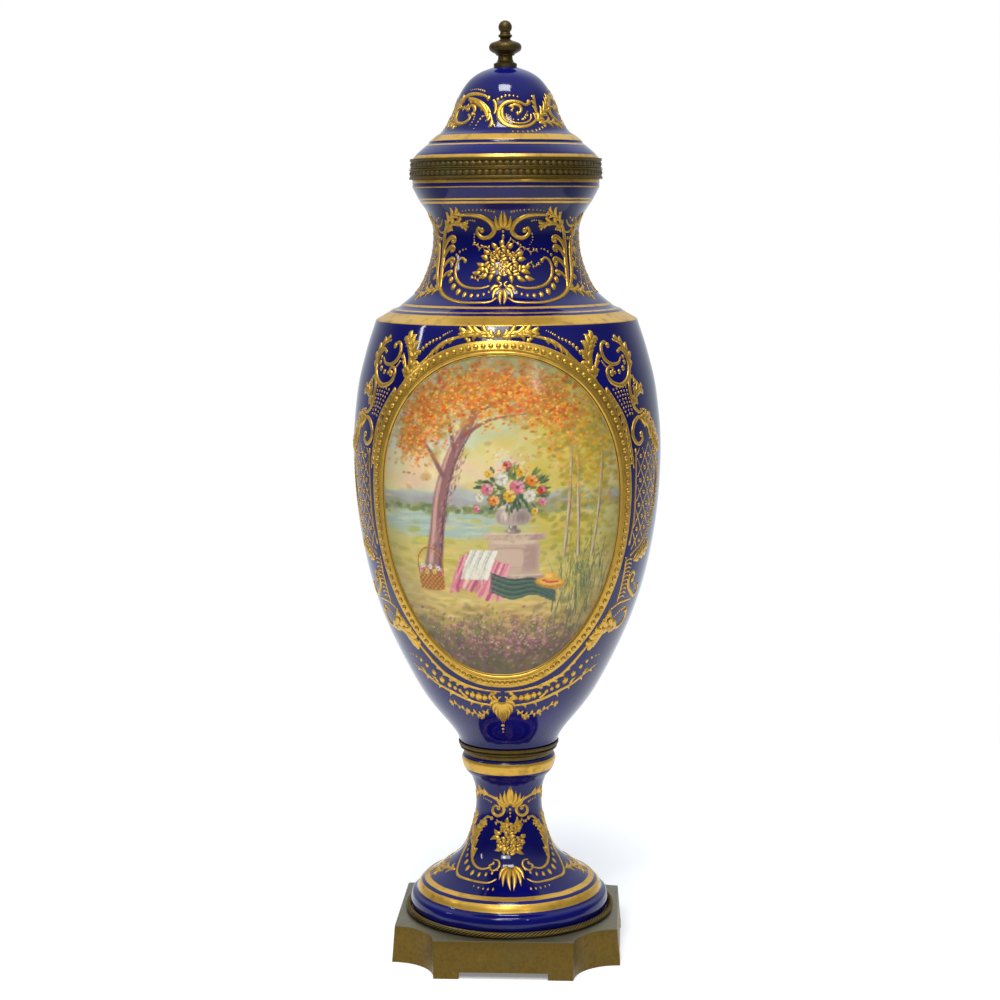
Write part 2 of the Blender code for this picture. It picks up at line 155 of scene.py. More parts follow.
def between(start, end, shares):
    """Points on the way from start to end, each by its share of the radius and of the height."""
    way = end - start
    return [point(start.x + way.x * across, start.y + way.y * down) for across, down in shares]


def smooth(points, steps):
    """A Catmull-Rom curve through the points, with the given number of steps between two of them."""
    ends = [points[0] * 2 - points[1]] + list(points) + [points[-1] * 2 - points[-2]]
    curve = []
    for before, start, end, after in zip(ends, ends[1:], ends[2:], ends[3:]):
        for step in range(steps):
            t = step / steps
            linear = (end - before) * t
            square = (before * 2 - start * 5 + end * 4 - after) * t ** 2
            cubic = (start * 3 - before - end * 3 + after) * t ** 3
            curve.append((start * 2 + linear + square + cubic) * 0.5)
    curve.append(points[-1])
    return curve


def rounded(points, radius, steps=4):
    """The outline with each inner corner cut to a small round."""
    curve = [points[0]]
    for before, corner, after in zip(points, points[1:], points[2:]):
        back = before - corner
        on = after - corner
        reach = min(radius, back.length * 0.45, on.length * 0.45)
        start = corner + back.normalized() * reach
        end = corner + on.normalized() * reach
        for step in range(steps + 1):
            t = step / steps
            curve.append(start * (1 - t) ** 2 + corner * (2 * t * (1 - t)) + end * t ** 2)
    return curve + [points[-1]]


def arc(centre, radius, start_degrees, end_degrees, steps):
    """Points on an arc of an outline; 0 degrees points outwards and 90 upwards."""
    points = []
    for step in range(steps + 1):
        angle = math.radians(start_degrees + (end_degrees - start_degrees) * step / steps)
        points.append(centre + heading(angle) * radius)
    return points


def inset(curve, wall):
    """The inner side of a wall, listed upwards; the curve is its outer side, listed downwards."""
    inner = []
    last = len(curve) - 1
    for index in range(0, last + 1, 2):
        way = curve[min(index + 1, last)] - curve[max(index - 1, 0)]
        inner.append(curve[index] + point(way.y, -way.x).normalized() * wall)
    return inner[::-1]


def body_curves():
    """The outside of the body from the rim down: the neck with its steps, and the belly."""
    steps = turning().curve_steps
    base = point(47.8, BODY_BASE)
    belly = point(148.15, BODY_BASE + 285.0)
    shoulder = point(126.2, belly.y + 124.5)
    neck_foot = point(102.0, shoulder.y + 16.0)
    neck = point(69.3, neck_foot.y + 67.0)
    rim = point(88.9, neck.y + 45.0)
    throat = between(rim, neck, ((0.30, 0.25), (0.80, 0.60)))
    waist = between(neck, neck_foot, ((0.10, 0.36), (0.46, 0.755)))
    slope = between(neck_foot, shoulder, ((0.15, 0.11), (0.30, 0.18), (0.52, 0.42), (0.95, 0.78)))
    swell = between(shoulder, belly, ((0.40, 0.22), (0.80, 0.53)))
    taper = between(belly, base, ((0.06, 0.265), (0.246, 0.53), (0.607, 0.80), (0.933, 0.955)))
    upper = [point(rim.x, rim.y + 15.5)] + smooth([rim, *throat, neck, *waist, neck_foot], steps)
    ledge = rounded([upper[-1], *slope, shoulder], 1.2)[1:-1]
    lower = smooth([shoulder, *swell, belly, *taper, base], steps)
    return upper + ledge + lower


def lid_curve():
    """The outside of the lid from the seat of the finial down to its rim."""
    steps = turning().curve_steps
    seat = point(12.2, LID_TOP)
    crown = point(44.8, seat.y - 28.2)
    skirt = point(72.8, crown.y - 40.8)
    rim = point(88.2, skirt.y - 15.7)
    dome = between(seat, crown, ((0.344, 0.15), (0.62, 0.362), (0.84, 0.66)))
    bell = between(crown, skirt, ((0.20, 0.37), (0.51, 0.735), (0.77, 0.87)))
    run = between(skirt, rim, ((0.026, 0.115), (0.18, 0.223), (0.48, 0.459), (0.747, 0.694), (0.89, 0.86)))
    upper = smooth([seat, *dome, crown, *bell, skirt], steps)
    return upper + rounded([skirt, *run, rim, point(rim.x, rim.y - 8.3)], 1.0)[1:]


def foot_curve():
    """The outside of the foot from its top down to the plinth."""
    steps = turning().curve_steps
    bulb = point(46.4, COLLAR_BASE - 0.3 - 6.6)
    stem = point(32.4, bulb.y - 36.2)
    flare = point(81.2, stem.y - 83.4)
    step = point(flare.x + 2.0, flare.y)
    roll = point(97.7, FOOT_BASE + 11.2)
    stem_run = between(bulb, stem, ((0.22, 0.26), (0.72, 0.52)))
    flare_run = between(stem, flare, ((0.055, 0.33), (0.27, 0.66), (0.65, 0.86)))
    ovolo = between(step, roll, ((0.0, 0.0), (0.36, 0.23), (0.58, 0.55), (0.88, 0.69), (1.0, 1.0)))
    under = between(roll, point(roll.x - 2.5, FOOT_BASE), ((0.35, 0.5), (1.0, 1.0)))
    top = rounded([point(43.4, bulb.y + 6.6), point(45.4, bulb.y + 4.2), bulb], 1.5)
    run = smooth([bulb, *stem_run, stem, *flare_run, flare], steps)
    return top[:-1] + run + smooth(ovolo, 4) + smooth([roll, *under], 3)[1:]


def flat_outline(curve):
    """An outline as two arrays for looking up a radius at a height: heights upwards, and radii."""
    heights = np.array([corner.y for corner in curve])[::-1]
    radii = np.array([corner.x for corner in curve])[::-1]
    return heights, radii


def finished(name, bm, material, slot, *nodes):
    """Put a modelled piece in the scene with its finish, in place of the nodes that it stands for."""
    mesh = bpy.data.meshes.new(name)
    bm.to_mesh(mesh)
    bm.free()
    return placed(name, mesh, material, slot, *nodes)


def placed(name, mesh, material, slot, *nodes):
    mesh.materials.append(material)
    mesh.shade_smooth()
    item = bpy.data.objects.new(name, mesh)
    bpy.context.scene.collection.objects.link(item)
    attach(item, "root")
    if nodes:
        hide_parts(*nodes)
    return item


def turned(outline, segments):
    """A bmesh of revolution. The outline is in millimetres and closes on itself."""
    bm = bmesh.new()
    corners = [bm.verts.new((corner.x * MM, 0.0, corner.y * MM)) for corner in outline]
    edges = [bm.edges.new(pair) for pair in zip(corners, corners[1:])]
    edges.append(bm.edges.new((corners[-1], corners[0])))
    bmesh.ops.spin(bm, geom=corners + edges, cent=(0, 0, 0), axis=(0, 0, 1), angle=math.tau, steps=segments,
                   use_merge=True)
    bmesh.ops.remove_doubles(bm, verts=bm.verts, dist=MERGE)
    bmesh.ops.recalc_face_normals(bm, faces=bm.faces)
    return bm


def crease(item, degrees):
    """Keep edges sharper than the angle crisp under smooth shading."""
    item.data.set_sharp_from_angle(angle=math.radians(degrees))
    return item


class Wire:
    """A socket of a node tree that takes part in Python expressions."""

    def __init__(self, nodes, socket):
        self.nodes = nodes
        self.socket = socket

    def math(self, operation, first, second, clamp=False):
        settings = {"operation": operation, "use_clamp": clamp}
        return self.nodes.add("ShaderNodeMath", settings, {0: first, 1: second})

    def __add__(self, other):
        return self.math("ADD", self, other)

    __radd__ = __add__

    def __sub__(self, other):
        return self.math("SUBTRACT", self, other)

    def __rsub__(self, other):
        return self.math("SUBTRACT", other, self)

    def __mul__(self, other):
        return self.math("MULTIPLY", self, other)

    __rmul__ = __mul__

    def highest(self, other):
        return self.math("MAXIMUM", self, other)

    def clamped(self):
        return self.math("ADD", self, 0.0, clamp=True)


class Nodes:
    """A node tree whose nodes are all made by one method."""

    def __init__(self, tree):
        self.tree = tree

    def add(self, kind, settings=None, sockets=None, output=0):
        """A node of a type, with its settings made first and its sockets set or linked after them."""
        node = self.tree.nodes.new(kind)
        for name, value in (settings or {}).items():
            setattr(node, name, value)
        for name, value in (sockets or {}).items():
            self.feed(node.inputs[name], value)
        return Wire(self, node.outputs[output])

    def feed(self, socket, value):
        if isinstance(value, Wire):
            self.tree.links.new(value.socket, socket)
        elif socket.type == "RGBA":
            socket.default_value = (*value[:3], 1.0)
        else:
            socket.default_value = value

    def mix(self, share, first, second):
        """A colour that goes from the first to the second as the share goes from 0 to 1."""
        return self.add("ShaderNodeMix", {"data_type": "RGBA"}, {0: share, 6: first, 7: second}, 2)

    def ranged(self, value, low, high):
        """0 where the value is at low or under it, 1 at high or over it."""
        settings = {"interpolation_type": "SMOOTHSTEP"}
        return self.add("ShaderNodeMapRange", settings, {"Value": value, "From Min": low, "From Max": high})


class Finish(Nodes):
    """The node tree of one finish, with its Principled shader."""

    def __init__(self, name):
        self.material = bpy.data.materials.new(name)
        self.material.use_nodes = True
        super().__init__(self.material.node_tree)
        self.shader = self.tree.nodes["Principled BSDF"]
        self.place = self.add("ShaderNodeTexCoord", output="Object")

    def noise(self, scale, detail=2.0, roughness=0.5):
        """Cloudy noise from 0 to 1, mostly about 0.5; the scale is in cycles a metre."""
        sockets = {"Vector": self.place, "Scale": scale, "Detail": detail, "Roughness": roughness}
        return self.add("ShaderNodeTexNoise", {}, sockets)

    def carried(self, name, output):
        """A value or a colour that the mesh carries in an attribute."""
        return self.add("ShaderNodeAttribute", {"attribute_name": name}, output=output)

    def height(self):
        """Height over the ground in millimetres."""
        return self.add("ShaderNodeSeparateXYZ", {}, {0: self.place}, "Z") * 1000.0

    def bump(self, height, depth, strength=1.0):
        sockets = {"Height": height, "Distance": depth, "Strength": strength}
        return self.add("ShaderNodeBump", {}, sockets)

    def set(self, **sockets):
        """Set or link sockets of the shader, named with underscores for spaces."""
        for name, value in sockets.items():
            self.feed(self.shader.inputs[name.replace("_", " ")], value)
        return self.material


def gold_parts(finish):
    """Colour and roughness of gilding: warm, a little rubbed, and duller in small patches."""
    settings = finishes()
    rubbed = finish.ranged(finish.noise(90.0, 3.0), 0.50, 0.72)
    speck = finish.ranged(finish.noise(900.0, 2.0), 0.62, 0.75)
    worn = (rubbed * 0.55 + speck * 0.35).clamped()
    colour = finish.mix(worn, settings.gold, settings.worn_gold)
    roughness = worn * 0.22 + settings.gold_roughness
    return colour, roughness


def porcelain(name, gold_bands):
    """Glazed cobalt with turned gold lines, each between two heights in millimetres."""
    settings = finishes()
    finish = Finish(name)
    wobble = finish.noise(60.0, 2.0) * 0.5 - 0.25
    height = finish.height() + wobble
    mask = None
    for low, high in gold_bands:
        band = finish.ranged(height, low - 0.2, low + 0.2) * finish.ranged(height, high + 0.2, high - 0.2)
        mask = band if mask is None else mask.highest(band)
    gold, gold_roughness = gold_parts(finish)
    depth = finish.ranged(finish.noise(14.0, 3.0), 0.35, 0.70)
    deep = tuple(channel * 0.62 for channel in settings.glaze)
    ground = finish.mix(depth, deep, settings.glaze)
    pits = finish.ranged(finish.noise(1400.0, 1.0), 0.70, 0.80)
    ripple = finish.noise(26.0, 2.0) * 1.0 + pits * 0.02
    roughness = finish.ranged(finish.noise(40.0, 3.0), 0.40, 0.80) * 0.05 + settings.glaze_roughness
    finish.set(
        Base_Color=finish.mix(mask, ground, gold),
        Metallic=mask * 0.62,
        Roughness=gold_roughness * mask + roughness * (1.0 - mask),
        Normal=finish.bump(ripple + mask * 0.15, 0.0006, 0.35),
        IOR=GLAZE_IOR,
    )
    return finish.material


def raised_gold(name, tooled=True):
    """Gilding over raised paste: painted shade darkens its grooves and leaves the crests bright, with fine
    tooling and a dull bloom in places.
    """
    finish = Finish(name)
    colour, roughness = gold_parts(finish)
    # Painted shade: darker, less metallic and rougher where the hollow attribute is 1, in grooves and round
    # the feet of beads
    hollow = finish.carried("hollow", "Fac")
    colour = finish.mix(hollow, colour, GOLD_PAINTED_SHADE)
    if tooled:
        finish.set(Normal=finish.bump(finish.noise(700.0, 2.0), 0.0003, 0.25))
    return finish.set(Base_Color=colour, Metallic=0.80 - hollow * 0.6, Roughness=roughness + hollow * 0.3)


def aged_bronze(name, lightness, olive, greyer_from=None):
    """Patinated bronze: brown with olive clouds, dark in its pores and rubbed to metal in specks.

    It is greyer above the given height, in millimetres, and darkened by painted shade where the hollow
    attribute is 1.
    """
    settings = finishes()
    finish = Finish(name)
    bronze = tuple(channel * lightness for channel in settings.bronze)
    olive_tone = (bronze[0] * 0.72, bronze[1] * 0.88, bronze[2] * 1.35)
    clouds = finish.ranged(finish.noise(28.0, 4.0, 0.6), 0.50 - olive * 0.3, 0.85 - olive * 0.3)
    mottle = finish.ranged(finish.noise(260.0, 4.0, 0.65), 0.42, 0.70)
    rubs = finish.ranged(finish.noise(75.0, 5.0, 0.7), 0.60, 0.72)
    pores = finish.ranged(finish.noise(1500.0, 2.0), 0.64, 0.74)
    tone = finish.mix(clouds, bronze, olive_tone)
    tone = finish.mix(mottle * 0.28, tone, settings.bronze_shade)
    tone = finish.mix(rubs * 0.30, tone, tuple(channel * 1.6 for channel in bronze))
    tone = finish.mix(pores * 0.6, tone, settings.bronze_shade)
    # The top faces, above the given height, turn greyer
    if greyer_from is not None:
        top_grey = finish.ranged(finish.height(), greyer_from - 0.3, greyer_from + 0.3)
        tone = finish.mix(top_grey * 0.80, tone, TOP_GREY)
    # Painted shade: near black in the grooves and on the recessed ground, where the hollow attribute is 1
    hollow = finish.carried("hollow", "Fac")
    tone = finish.mix(hollow, tone, BRONZE_PAINTED_SHADE)
    relief = finish.noise(420.0, 3.0) * 0.6 + finish.noise(60.0, 2.0) * 0.4 - pores * 0.5
    return finish.set(
        Base_Color=tone,
        Metallic=0.85 - clouds * 0.25 - pores * 0.3,
        Roughness=mottle * 0.14 + settings.bronze_roughness - rubs * 0.10,
        Normal=finish.bump(relief, 0.0005, 0.45),
    )


def porcelain_piece(node, outline, gold_bands):
    """Turn a porcelain piece in place of a node, with its glaze and its gold lines."""
    name = node.removeprefix("vase_")
    bm = turned(outline, turning().body_segments)
    finished(name + "_porcelain", bm, porcelain(name + "_glaze", gold_bands), "porcelain", node)


class AMPHORA_OT_body(bpy.types.Operator):
    """Turn the hollow porcelain body"""

    bl_idname = "amphora.body"
    bl_label = "Vase Body"

    def execute(self, context):
        curve = body_curves()
        wall = turning().porcelain_wall / MM
        inner = [corner for corner in inset(curve, wall) if corner.y > BODY_BASE + 9.0]
        inner[-1].y = curve[0].y
        floor = [point(0.0, BODY_BASE), point(0.0, BODY_BASE + 8.0), point(inner[0].x - 4.0, BODY_BASE + 8.0)]
        bands = ((748.3, 751.4), (743.9, 744.9), (732.6, 734.0), (729.2, 731.2), (633.7, 635.5),
                 (629.7, 630.6), (619.4, 627.6))
        porcelain_piece("vase_body", curve + floor + inner, bands)
        return {"FINISHED"}


class AMPHORA_OT_foot(bpy.types.Operator):
    """Turn the hollow porcelain foot"""

    bl_idname = "amphora.foot"
    bl_label = "Foot"

    def execute(self, context):
        curve = foot_curve()
        wall = turning().porcelain_wall / MM
        inner = inset(curve, wall)
        inner[0].y = curve[-1].y
        inner[-1] = point(inner[-1].x - 1.0, curve[0].y)
        bands = ((180.7, 191.9), (68.1, 70.5), (58.6, 65.7))
        porcelain_piece("foot", curve + inner, bands)
        return {"FINISHED"}


class AMPHORA_OT_lid(bpy.types.Operator):
    """Turn the hollow bell of the lid with its locating flange"""

    bl_idname = "amphora.lid"
    bl_label = "Lid"

    def execute(self, context):
        curve = lid_curve()
        wall = turning().porcelain_wall / MM
        base = curve[-1].y
        flange = 88.9 - wall - 1.2
        inner = [corner for corner in inset(curve, wall) if corner.y > base + wall and corner.x > 6.0]
        skirt = [point(flange, base), point(flange, base - 13.5), point(flange - 4.2, base - 13.5),
                 point(flange - 4.2, base + wall)]
        crown = [point(0.0, inner[-1].y), point(0.0, curve[0].y)]
        bands = ((787.5, 792.9), (783.3, 784.5), (771.3, 774.2))
        porcelain_piece("lid", curve + rounded(skirt, 0.6) + inner + crown, bands)
        return {"FINISHED"}


def plinth_outline(half_width, corner, radius, opening, steps):
    """A square of the given half width, its corners hollowed by arcs about the points at corner."""
    swing = math.asin((corner - half_width) / radius)
    outline = []
    for quarter in range(4):
        turn = Matrix.Rotation(quarter * math.pi / 2, 2)
        for step in range(steps + 1):
            angle = math.pi * 1.5 - swing - (math.pi / 2 - swing * 2) * step / steps
            outline.append(turn @ (point(corner, corner) + heading(angle) * radius))
        outline += [turn @ point(opening, half_width), turn @ point(-opening, half_width)]
    return outline


class AMPHORA_OT_plinth(bpy.types.Operator):
    """Cast the bronze plinth with hollowed corners, bracket feet and an open underside"""

    bl_idname = "amphora.plinth"
    bl_label = "Plinth"

    def execute(self, context):
        top, bottom = 107.5, 110.6
        hollow_radius, foot_gap, wall = 44.0, 42.5, 5.5
        batter = (bottom - top) / PLINTH_TOP
        levels = (0.0, BRACKET_HEIGHT, 11.0, 18.0, 26.0, PLINTH_TOP)
        bm = bmesh.new()
        rings = []
        for level in levels:
            half = bottom - batter * level
            outline = plinth_outline(half, bottom, hollow_radius, foot_gap, 14)
            rings.append([bm.verts.new((corner.x * MM, corner.y * MM, level * MM)) for corner in outline])
        edges = [[bm.edges.new(pair) for pair in zip(ring, ring[1:] + ring[:1])] for ring in rings]
        for lower, upper in zip(edges, edges[1:]):
            bmesh.ops.bridge_loops(bm, edges=lower + upper)
        bm.faces.new(rings[-1])
        opening = [face for face in bm.faces if self.is_opening(face)]
        bmesh.ops.delete(bm, geom=opening, context="FACES")
        bmesh.ops.recalc_face_normals(bm, faces=bm.faces)
        bmesh.ops.solidify(bm, geom=bm.faces, thickness=wall * MM)
        for corner in bm.verts:
            corner.co.z = max(corner.co.z, 0.0)
        bronze = aged_bronze("plinth_bronze", 1.0, 0.0, PLINTH_TOP - 0.6)
        item = finished("plinth_casting", bm, bronze, "bronze", "plinth")
        edge = item.modifiers.new("Eased Edges", "BEVEL")
        edge.width = 0.9 * MM
        edge.segments = 3
        edge.limit_method = "ANGLE"
        edge.angle_limit = math.radians(35.0)
        return {"FINISHED"}

    def is_opening(self, face):
        """A face of the lowest course between two bracket feet."""
        centre = face.calc_center_median() / MM
        across = min(abs(centre.x), abs(centre.y))
        return centre.z < BRACKET_HEIGHT and across < 1.0 and abs(face.normal.z) < 0.5


class AMPHORA_OT_rope_ring(bpy.types.Operator):
    """Wind the bronze ring of twisted strands that lies round the foot"""

    bl_idname = "amphora.rope_ring"
    bl_label = "Twisted Ring"

    def execute(self, context):
        settings = turning()
        low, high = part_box("twisted_ring")
        middle = (low.z + high.z) / 2 / MM
        reach = (high.z - low.z) / 2 / MM
        centre = high.x / MM - reach
        section = []
        for step in range(settings.rope_strands * 6):
            angle = math.tau * step / (settings.rope_strands * 6)
            bulge = abs(math.sin(angle * settings.rope_strands / 2))
            radius = reach * (0.60 + 0.40 * bulge ** 0.9)
            section.append(point(centre + radius * math.cos(angle), middle + radius * math.sin(angle)))
        bm = turned(section, settings.rope_turns * 32)
        shade = bm.verts.layers.float.new("hollow")
        for corner in bm.verts:
            round_angle = math.atan2(corner.co.y, corner.co.x)
            heart = Vector((math.cos(round_angle), math.sin(round_angle), 0.0)) * centre * MM
            heart.z = middle * MM
            # Painted shade, deepest in the grooves between the strands
            depth = 1.0 - (corner.co - heart).length / (reach * MM)
            corner[shade] = min(1.0, max(0.0, depth) / 0.24)
            axis = Vector((-math.sin(round_angle), math.cos(round_angle), 0.0))
            roll = Matrix.Rotation(-round_angle * settings.rope_turns, 3, axis)
            corner.co = heart + roll @ (corner.co - heart)
        bmesh.ops.recalc_face_normals(bm, faces=bm.faces)
        finished("rope_ring", bm, aged_bronze("rope_bronze", 1.4, 0.5), "bronze", "twisted_ring")
        return {"FINISHED"}


class AMPHORA_OT_collar(bpy.types.Operator):
    """Turn the moulded bronze collar between the foot and the body"""

    bl_idname = "amphora.collar"
    bl_label = "Body Collar"

    def execute(self, context):
        low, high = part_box("body_collar")
        lip = point(high.x / MM, high.z / MM)
        fillet = point(44.2, low.z / MM)
        shares = ((0.0, 0.0), (0.04, 0.25), (0.55, 0.36), (0.28, 0.52), (0.85, 0.72), (1.0, 1.0))
        face = smooth(between(lip, fillet, shares), 5)
        bore = [point(24.0, face[-1].y), point(24.0, face[0].y)]
        bm = turned(face + bore, turning().mount_segments)
        bronze = aged_bronze("collar_bronze", 0.72, 0.25)
        crease(finished("collar_mount", bm, bronze, "bronze", "body_collar"), MOUNT_CREASE)
        return {"FINISHED"}


def repeated(bm, corners, count):
    """Repeat a small closed shape round the axis."""
    faces = {face for corner in corners for face in corner.link_faces}
    edges = {edge for corner in corners for edge in corner.link_edges}
    last = math.tau * (count - 1) / count
    bmesh.ops.spin(bm, geom=list(corners) + list(edges) + list(faces), cent=(0, 0, 0), axis=(0, 0, 1),
                   angle=last, steps=count - 1, use_duplicate=True)


def leaf_row(bm, count, radius, height, length, width, depth):
    """A row of small pointed leaves round a band, each a flattened drop that hangs down."""
    leaf = bmesh.ops.create_uvsphere(bm, u_segments=8, v_segments=5, radius=1.0)["verts"]
    for corner in leaf:
        corner.co.x *= 1.0 - 0.45 * max(0.0, -corner.co.z) ** 2
    scale = Matrix.Diagonal((width / 2 * MM, depth * MM, length / 2 * MM, 1.0))
    place = Matrix.Translation((0.0, -radius * MM, height * MM))
    bmesh.ops.transform(bm, matrix=place @ scale, verts=leaf)
    repeated(bm, leaf, count)


def bead_row(bm, count, radius, height, size):
    """A row of small beads round a band."""
    place = Matrix.Translation((0.0, -radius * MM, height * MM))
    bead = bmesh.ops.create_icosphere(bm, subdivisions=1, radius=size / 2 * MM, matrix=place)["verts"]
    repeated(bm, bead, count)


class AMPHORA_OT_bands(bpy.types.Operator):
    """Chase the two bronze bands that meet where the lid lies on the vase"""

    bl_idname = "amphora.bands"
    bl_label = "Rim Bands"

    def execute(self, context):
        bronze = aged_bronze("band_bronze", 0.95, 0.25)
        for node, flipped in (("neck_band", False), ("lid_band", True)):
            low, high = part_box(node)
            reach = high.x / MM
            low_height = low.z / MM
            tall = (high.z - low.z) / MM
            face = [point(reach, low_height + tall * share) for share in (0.985, 0.90)]
            ground = reach - 1.0
            face += [point(ground, low_height + tall * share) for share in (0.86, 0.27)]
            face += [point(reach - 0.1, low_height + tall * share) for share in (0.22, 0.02)]
            bore = reach - 3.4
            outline = rounded([point(bore, high.z / MM)] + face + [point(bore, low_height)], 0.3)
            bm = turned(outline, turning().mount_segments)
            shade = bm.verts.layers.float.new("hollow")
            for corner in bm.verts:
                # Painted shade on the recessed ground behind the leaves
                recessed = abs(corner.co.xy.length / MM - ground) < 0.05
                corner[shade] = 0.75 if recessed else 0.0
            middle = low_height + tall * 0.60
            leaf_row(bm, RIM_LEAVES, reach - 1.15, middle, tall * 0.50, 6.5, 0.75)
            leaf_row(bm, RIM_LEAVES, reach - 1.15, middle, tall * 0.26, 3.6, 1.0)
            bead_row(bm, RIM_LEAVES * 2, reach - 0.75, low_height + tall * 0.20, 1.5)
            if flipped:
                flip = Matrix.Translation((0, 0, low.z + high.z)) @ Matrix.Diagonal((1.0, 1.0, -1.0, 1.0))
                bmesh.ops.transform(bm, matrix=flip, verts=bm.verts)
                bmesh.ops.reverse_faces(bm, faces=bm.faces)
            crease(finished(node + "_chased", bm, bronze, "bronze", node), MOUNT_CREASE)
        return {"FINISHED"}


class AMPHORA_OT_finial(bpy.types.Operator):
    """Turn the bronze finial with its knob and ball"""

    bl_idname = "amphora.finial"
    bl_label = "Finial"

    def execute(self, context):
        foot_height, stem_height, knob_height, neck_height = 3.0, 8.1, 14.9, 6.9
        ball_radius = 6.4
        foot = point(11.0, FINIAL_BASE)
        stem = point(6.9, FINIAL_BASE + foot_height + stem_height)
        knob = point(15.3, stem.y + knob_height * 0.53)
        knob_top = stem.y + knob_height
        neck = point(5.0, knob_top + neck_height)
        ball = point(0.0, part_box("finial")[1].z / MM - ball_radius)
        disc = point(6.4, knob_top + neck_height * 0.45)
        curve = arc(ball, ball_radius, 90.0, -45.0, 12)
        curve += between(neck, disc, ((0.0, 0.35), (0.0, 0.70)))
        curve += arc(disc + point(-1.2, 0.0), 1.4, 80.0, -80.0, 6)
        upper = between(point(4.6, knob_top), knob, ((0.0, 0.0), (0.25, 0.20), (0.82, 0.52), (1.0, 1.0)))
        lower = between(knob, stem, ((0.14, 0.48), (0.74, 0.86), (0.78, 1.0)))
        curve += smooth(upper + lower, 5)
        curve += smooth(between(stem, point(foot.x, FINIAL_BASE + foot_height),
                                ((0.0, 0.0), (0.0, 0.35), (0.30, 0.75), (1.0, 0.96), (1.0, 1.0))), 4)
        curve += [foot, point(0.0, FINIAL_BASE)]
        bronze = aged_bronze("finial_bronze", 0.55, 0.45)
        bm = turned(curve, turning().mount_segments // 2)
        crease(finished("finial_turned", bm, bronze, "bronze", "finial"), MOUNT_CREASE)
        return {"FINISHED"}


# Where the photo was taken from, in metres, and how far the camera looks down, leans and turns, in degrees
CAMERA_PLACE = (0.1166, -2.0476, 0.7243)
CAMERA_LENS = 76.75
CAMERA_DOWN = 7.78
CAMERA_LEAN = 0.3
CAMERA_TURN = 3.42
# Each soft light: its name, place and size in metres, and power in watts
LAMPS = (
    ("left_strip", (-2.2, -0.5, 1.6), (0.10, 0.5), 4.0),
    ("top_softbox", (0.0, -0.9, 2.8), (0.8, 0.6), 34.0),
    ("window_glint", (-0.45, -2.3, 2.2), (0.26, 0.26), 10.0),
    ("right_glint", (1.05, -2.2, 1.5), (0.12, 0.36), 3.0),
    ("front_fill", (-0.4, -3.4, 3.2), (1.6, 0.7), 40.0),
)
FLOOR_RADIUS = 1.0


class AMPHORA_OT_studio(bpy.types.Operator):
    """Set the pale floor, the soft lights and the camera"""

    bl_idname = "amphora.studio"
    bl_label = "Studio"

    def execute(self, context):
        scene = context.scene
        scene.view_settings.view_transform = "Standard"
        self.make_floor()
        self.make_world(scene)
        for name, place, size, power in LAMPS:
            self.make_lamp(name, Vector(place), size, power)
        data = bpy.data.cameras.new("photo_camera")
        data.lens = CAMERA_LENS
        data.sensor_width = 36.0
        camera = bpy.data.objects.new("photo_camera", data)
        camera.location = CAMERA_PLACE
        camera.rotation_euler = (
            math.radians(90.0 - CAMERA_DOWN), math.radians(CAMERA_LEAN), math.radians(CAMERA_TURN))
        scene.collection.objects.link(camera)
        scene.camera = camera
        return {"FINISHED"}

    def make_lamp(self, name, place, size, power):
        data = bpy.data.lights.new(name, "AREA")
        data.shape = "RECTANGLE"
        data.size, data.size_y = size
        data.energy = power
        lamp = bpy.data.objects.new(name, data)
        lamp.location = place
        aim = Vector((0.0, 0.0, 0.5)) - place
        lamp.rotation_euler = aim.to_track_quat("-Z", "Y").to_euler()
        bpy.context.scene.collection.objects.link(lamp)

    def make_floor(self):
        """A plain pale floor round the vase."""
        bm = bmesh.new()
        bmesh.ops.create_circle(bm, cap_ends=True, segments=96, radius=FLOOR_RADIUS)
        bmesh.ops.recalc_face_normals(bm, faces=bm.faces)
        mesh = bpy.data.meshes.new("studio_floor")
        bm.to_mesh(mesh)
        bm.free()
        finish = Finish("studio_floor")
        tone = finish.mix(finish.noise(3.0), (0.88, 0.88, 0.88), (0.91, 0.91, 0.91))
        mesh.materials.append(finish.set(
            Base_Color=tone, Roughness=0.9, Emission_Color=(1.0, 1.0, 1.0), Emission_Strength=0.22))
        floor = bpy.data.objects.new("studio_floor", mesh)
        bpy.context.scene.collection.objects.link(floor)

    def make_world(self, scene):
        """Pale surroundings: white behind the vase, and soft light from overhead and from behind."""
        world = bpy.data.worlds.new("studio_air")
        world.use_nodes = True
        air = Nodes(world.node_tree)
        direction = air.add("ShaderNodeTexCoord", output="Generated")
        upward = air.add("ShaderNodeSeparateXYZ", {}, {0: direction}, "Z")
        backward = air.add("ShaderNodeSeparateXYZ", {}, {0: direction}, "Y")
        glow = air.ranged(upward, 0.25, 0.85) * 0.75 + air.ranged(backward, 0.15, 1.0) * 0.70 + 0.10
        glow = glow + air.ranged(upward, 0.0, -0.3) * 0.45
        shed = air.add("ShaderNodeBackground", {}, {"Color": (0.90, 0.95, 1.0), "Strength": glow})
        seen = air.add("ShaderNodeBackground", {}, {"Color": (1.0, 1.0, 1.0)})
        camera_ray = air.add("ShaderNodeLightPath", output="Is Camera Ray")
        surface = air.add("ShaderNodeMixShader", {}, {0: camera_ray, 1: shed, 2: seen})
        air.feed(world.node_tree.nodes["World Output"].inputs["Surface"], surface)
        scene.world = world


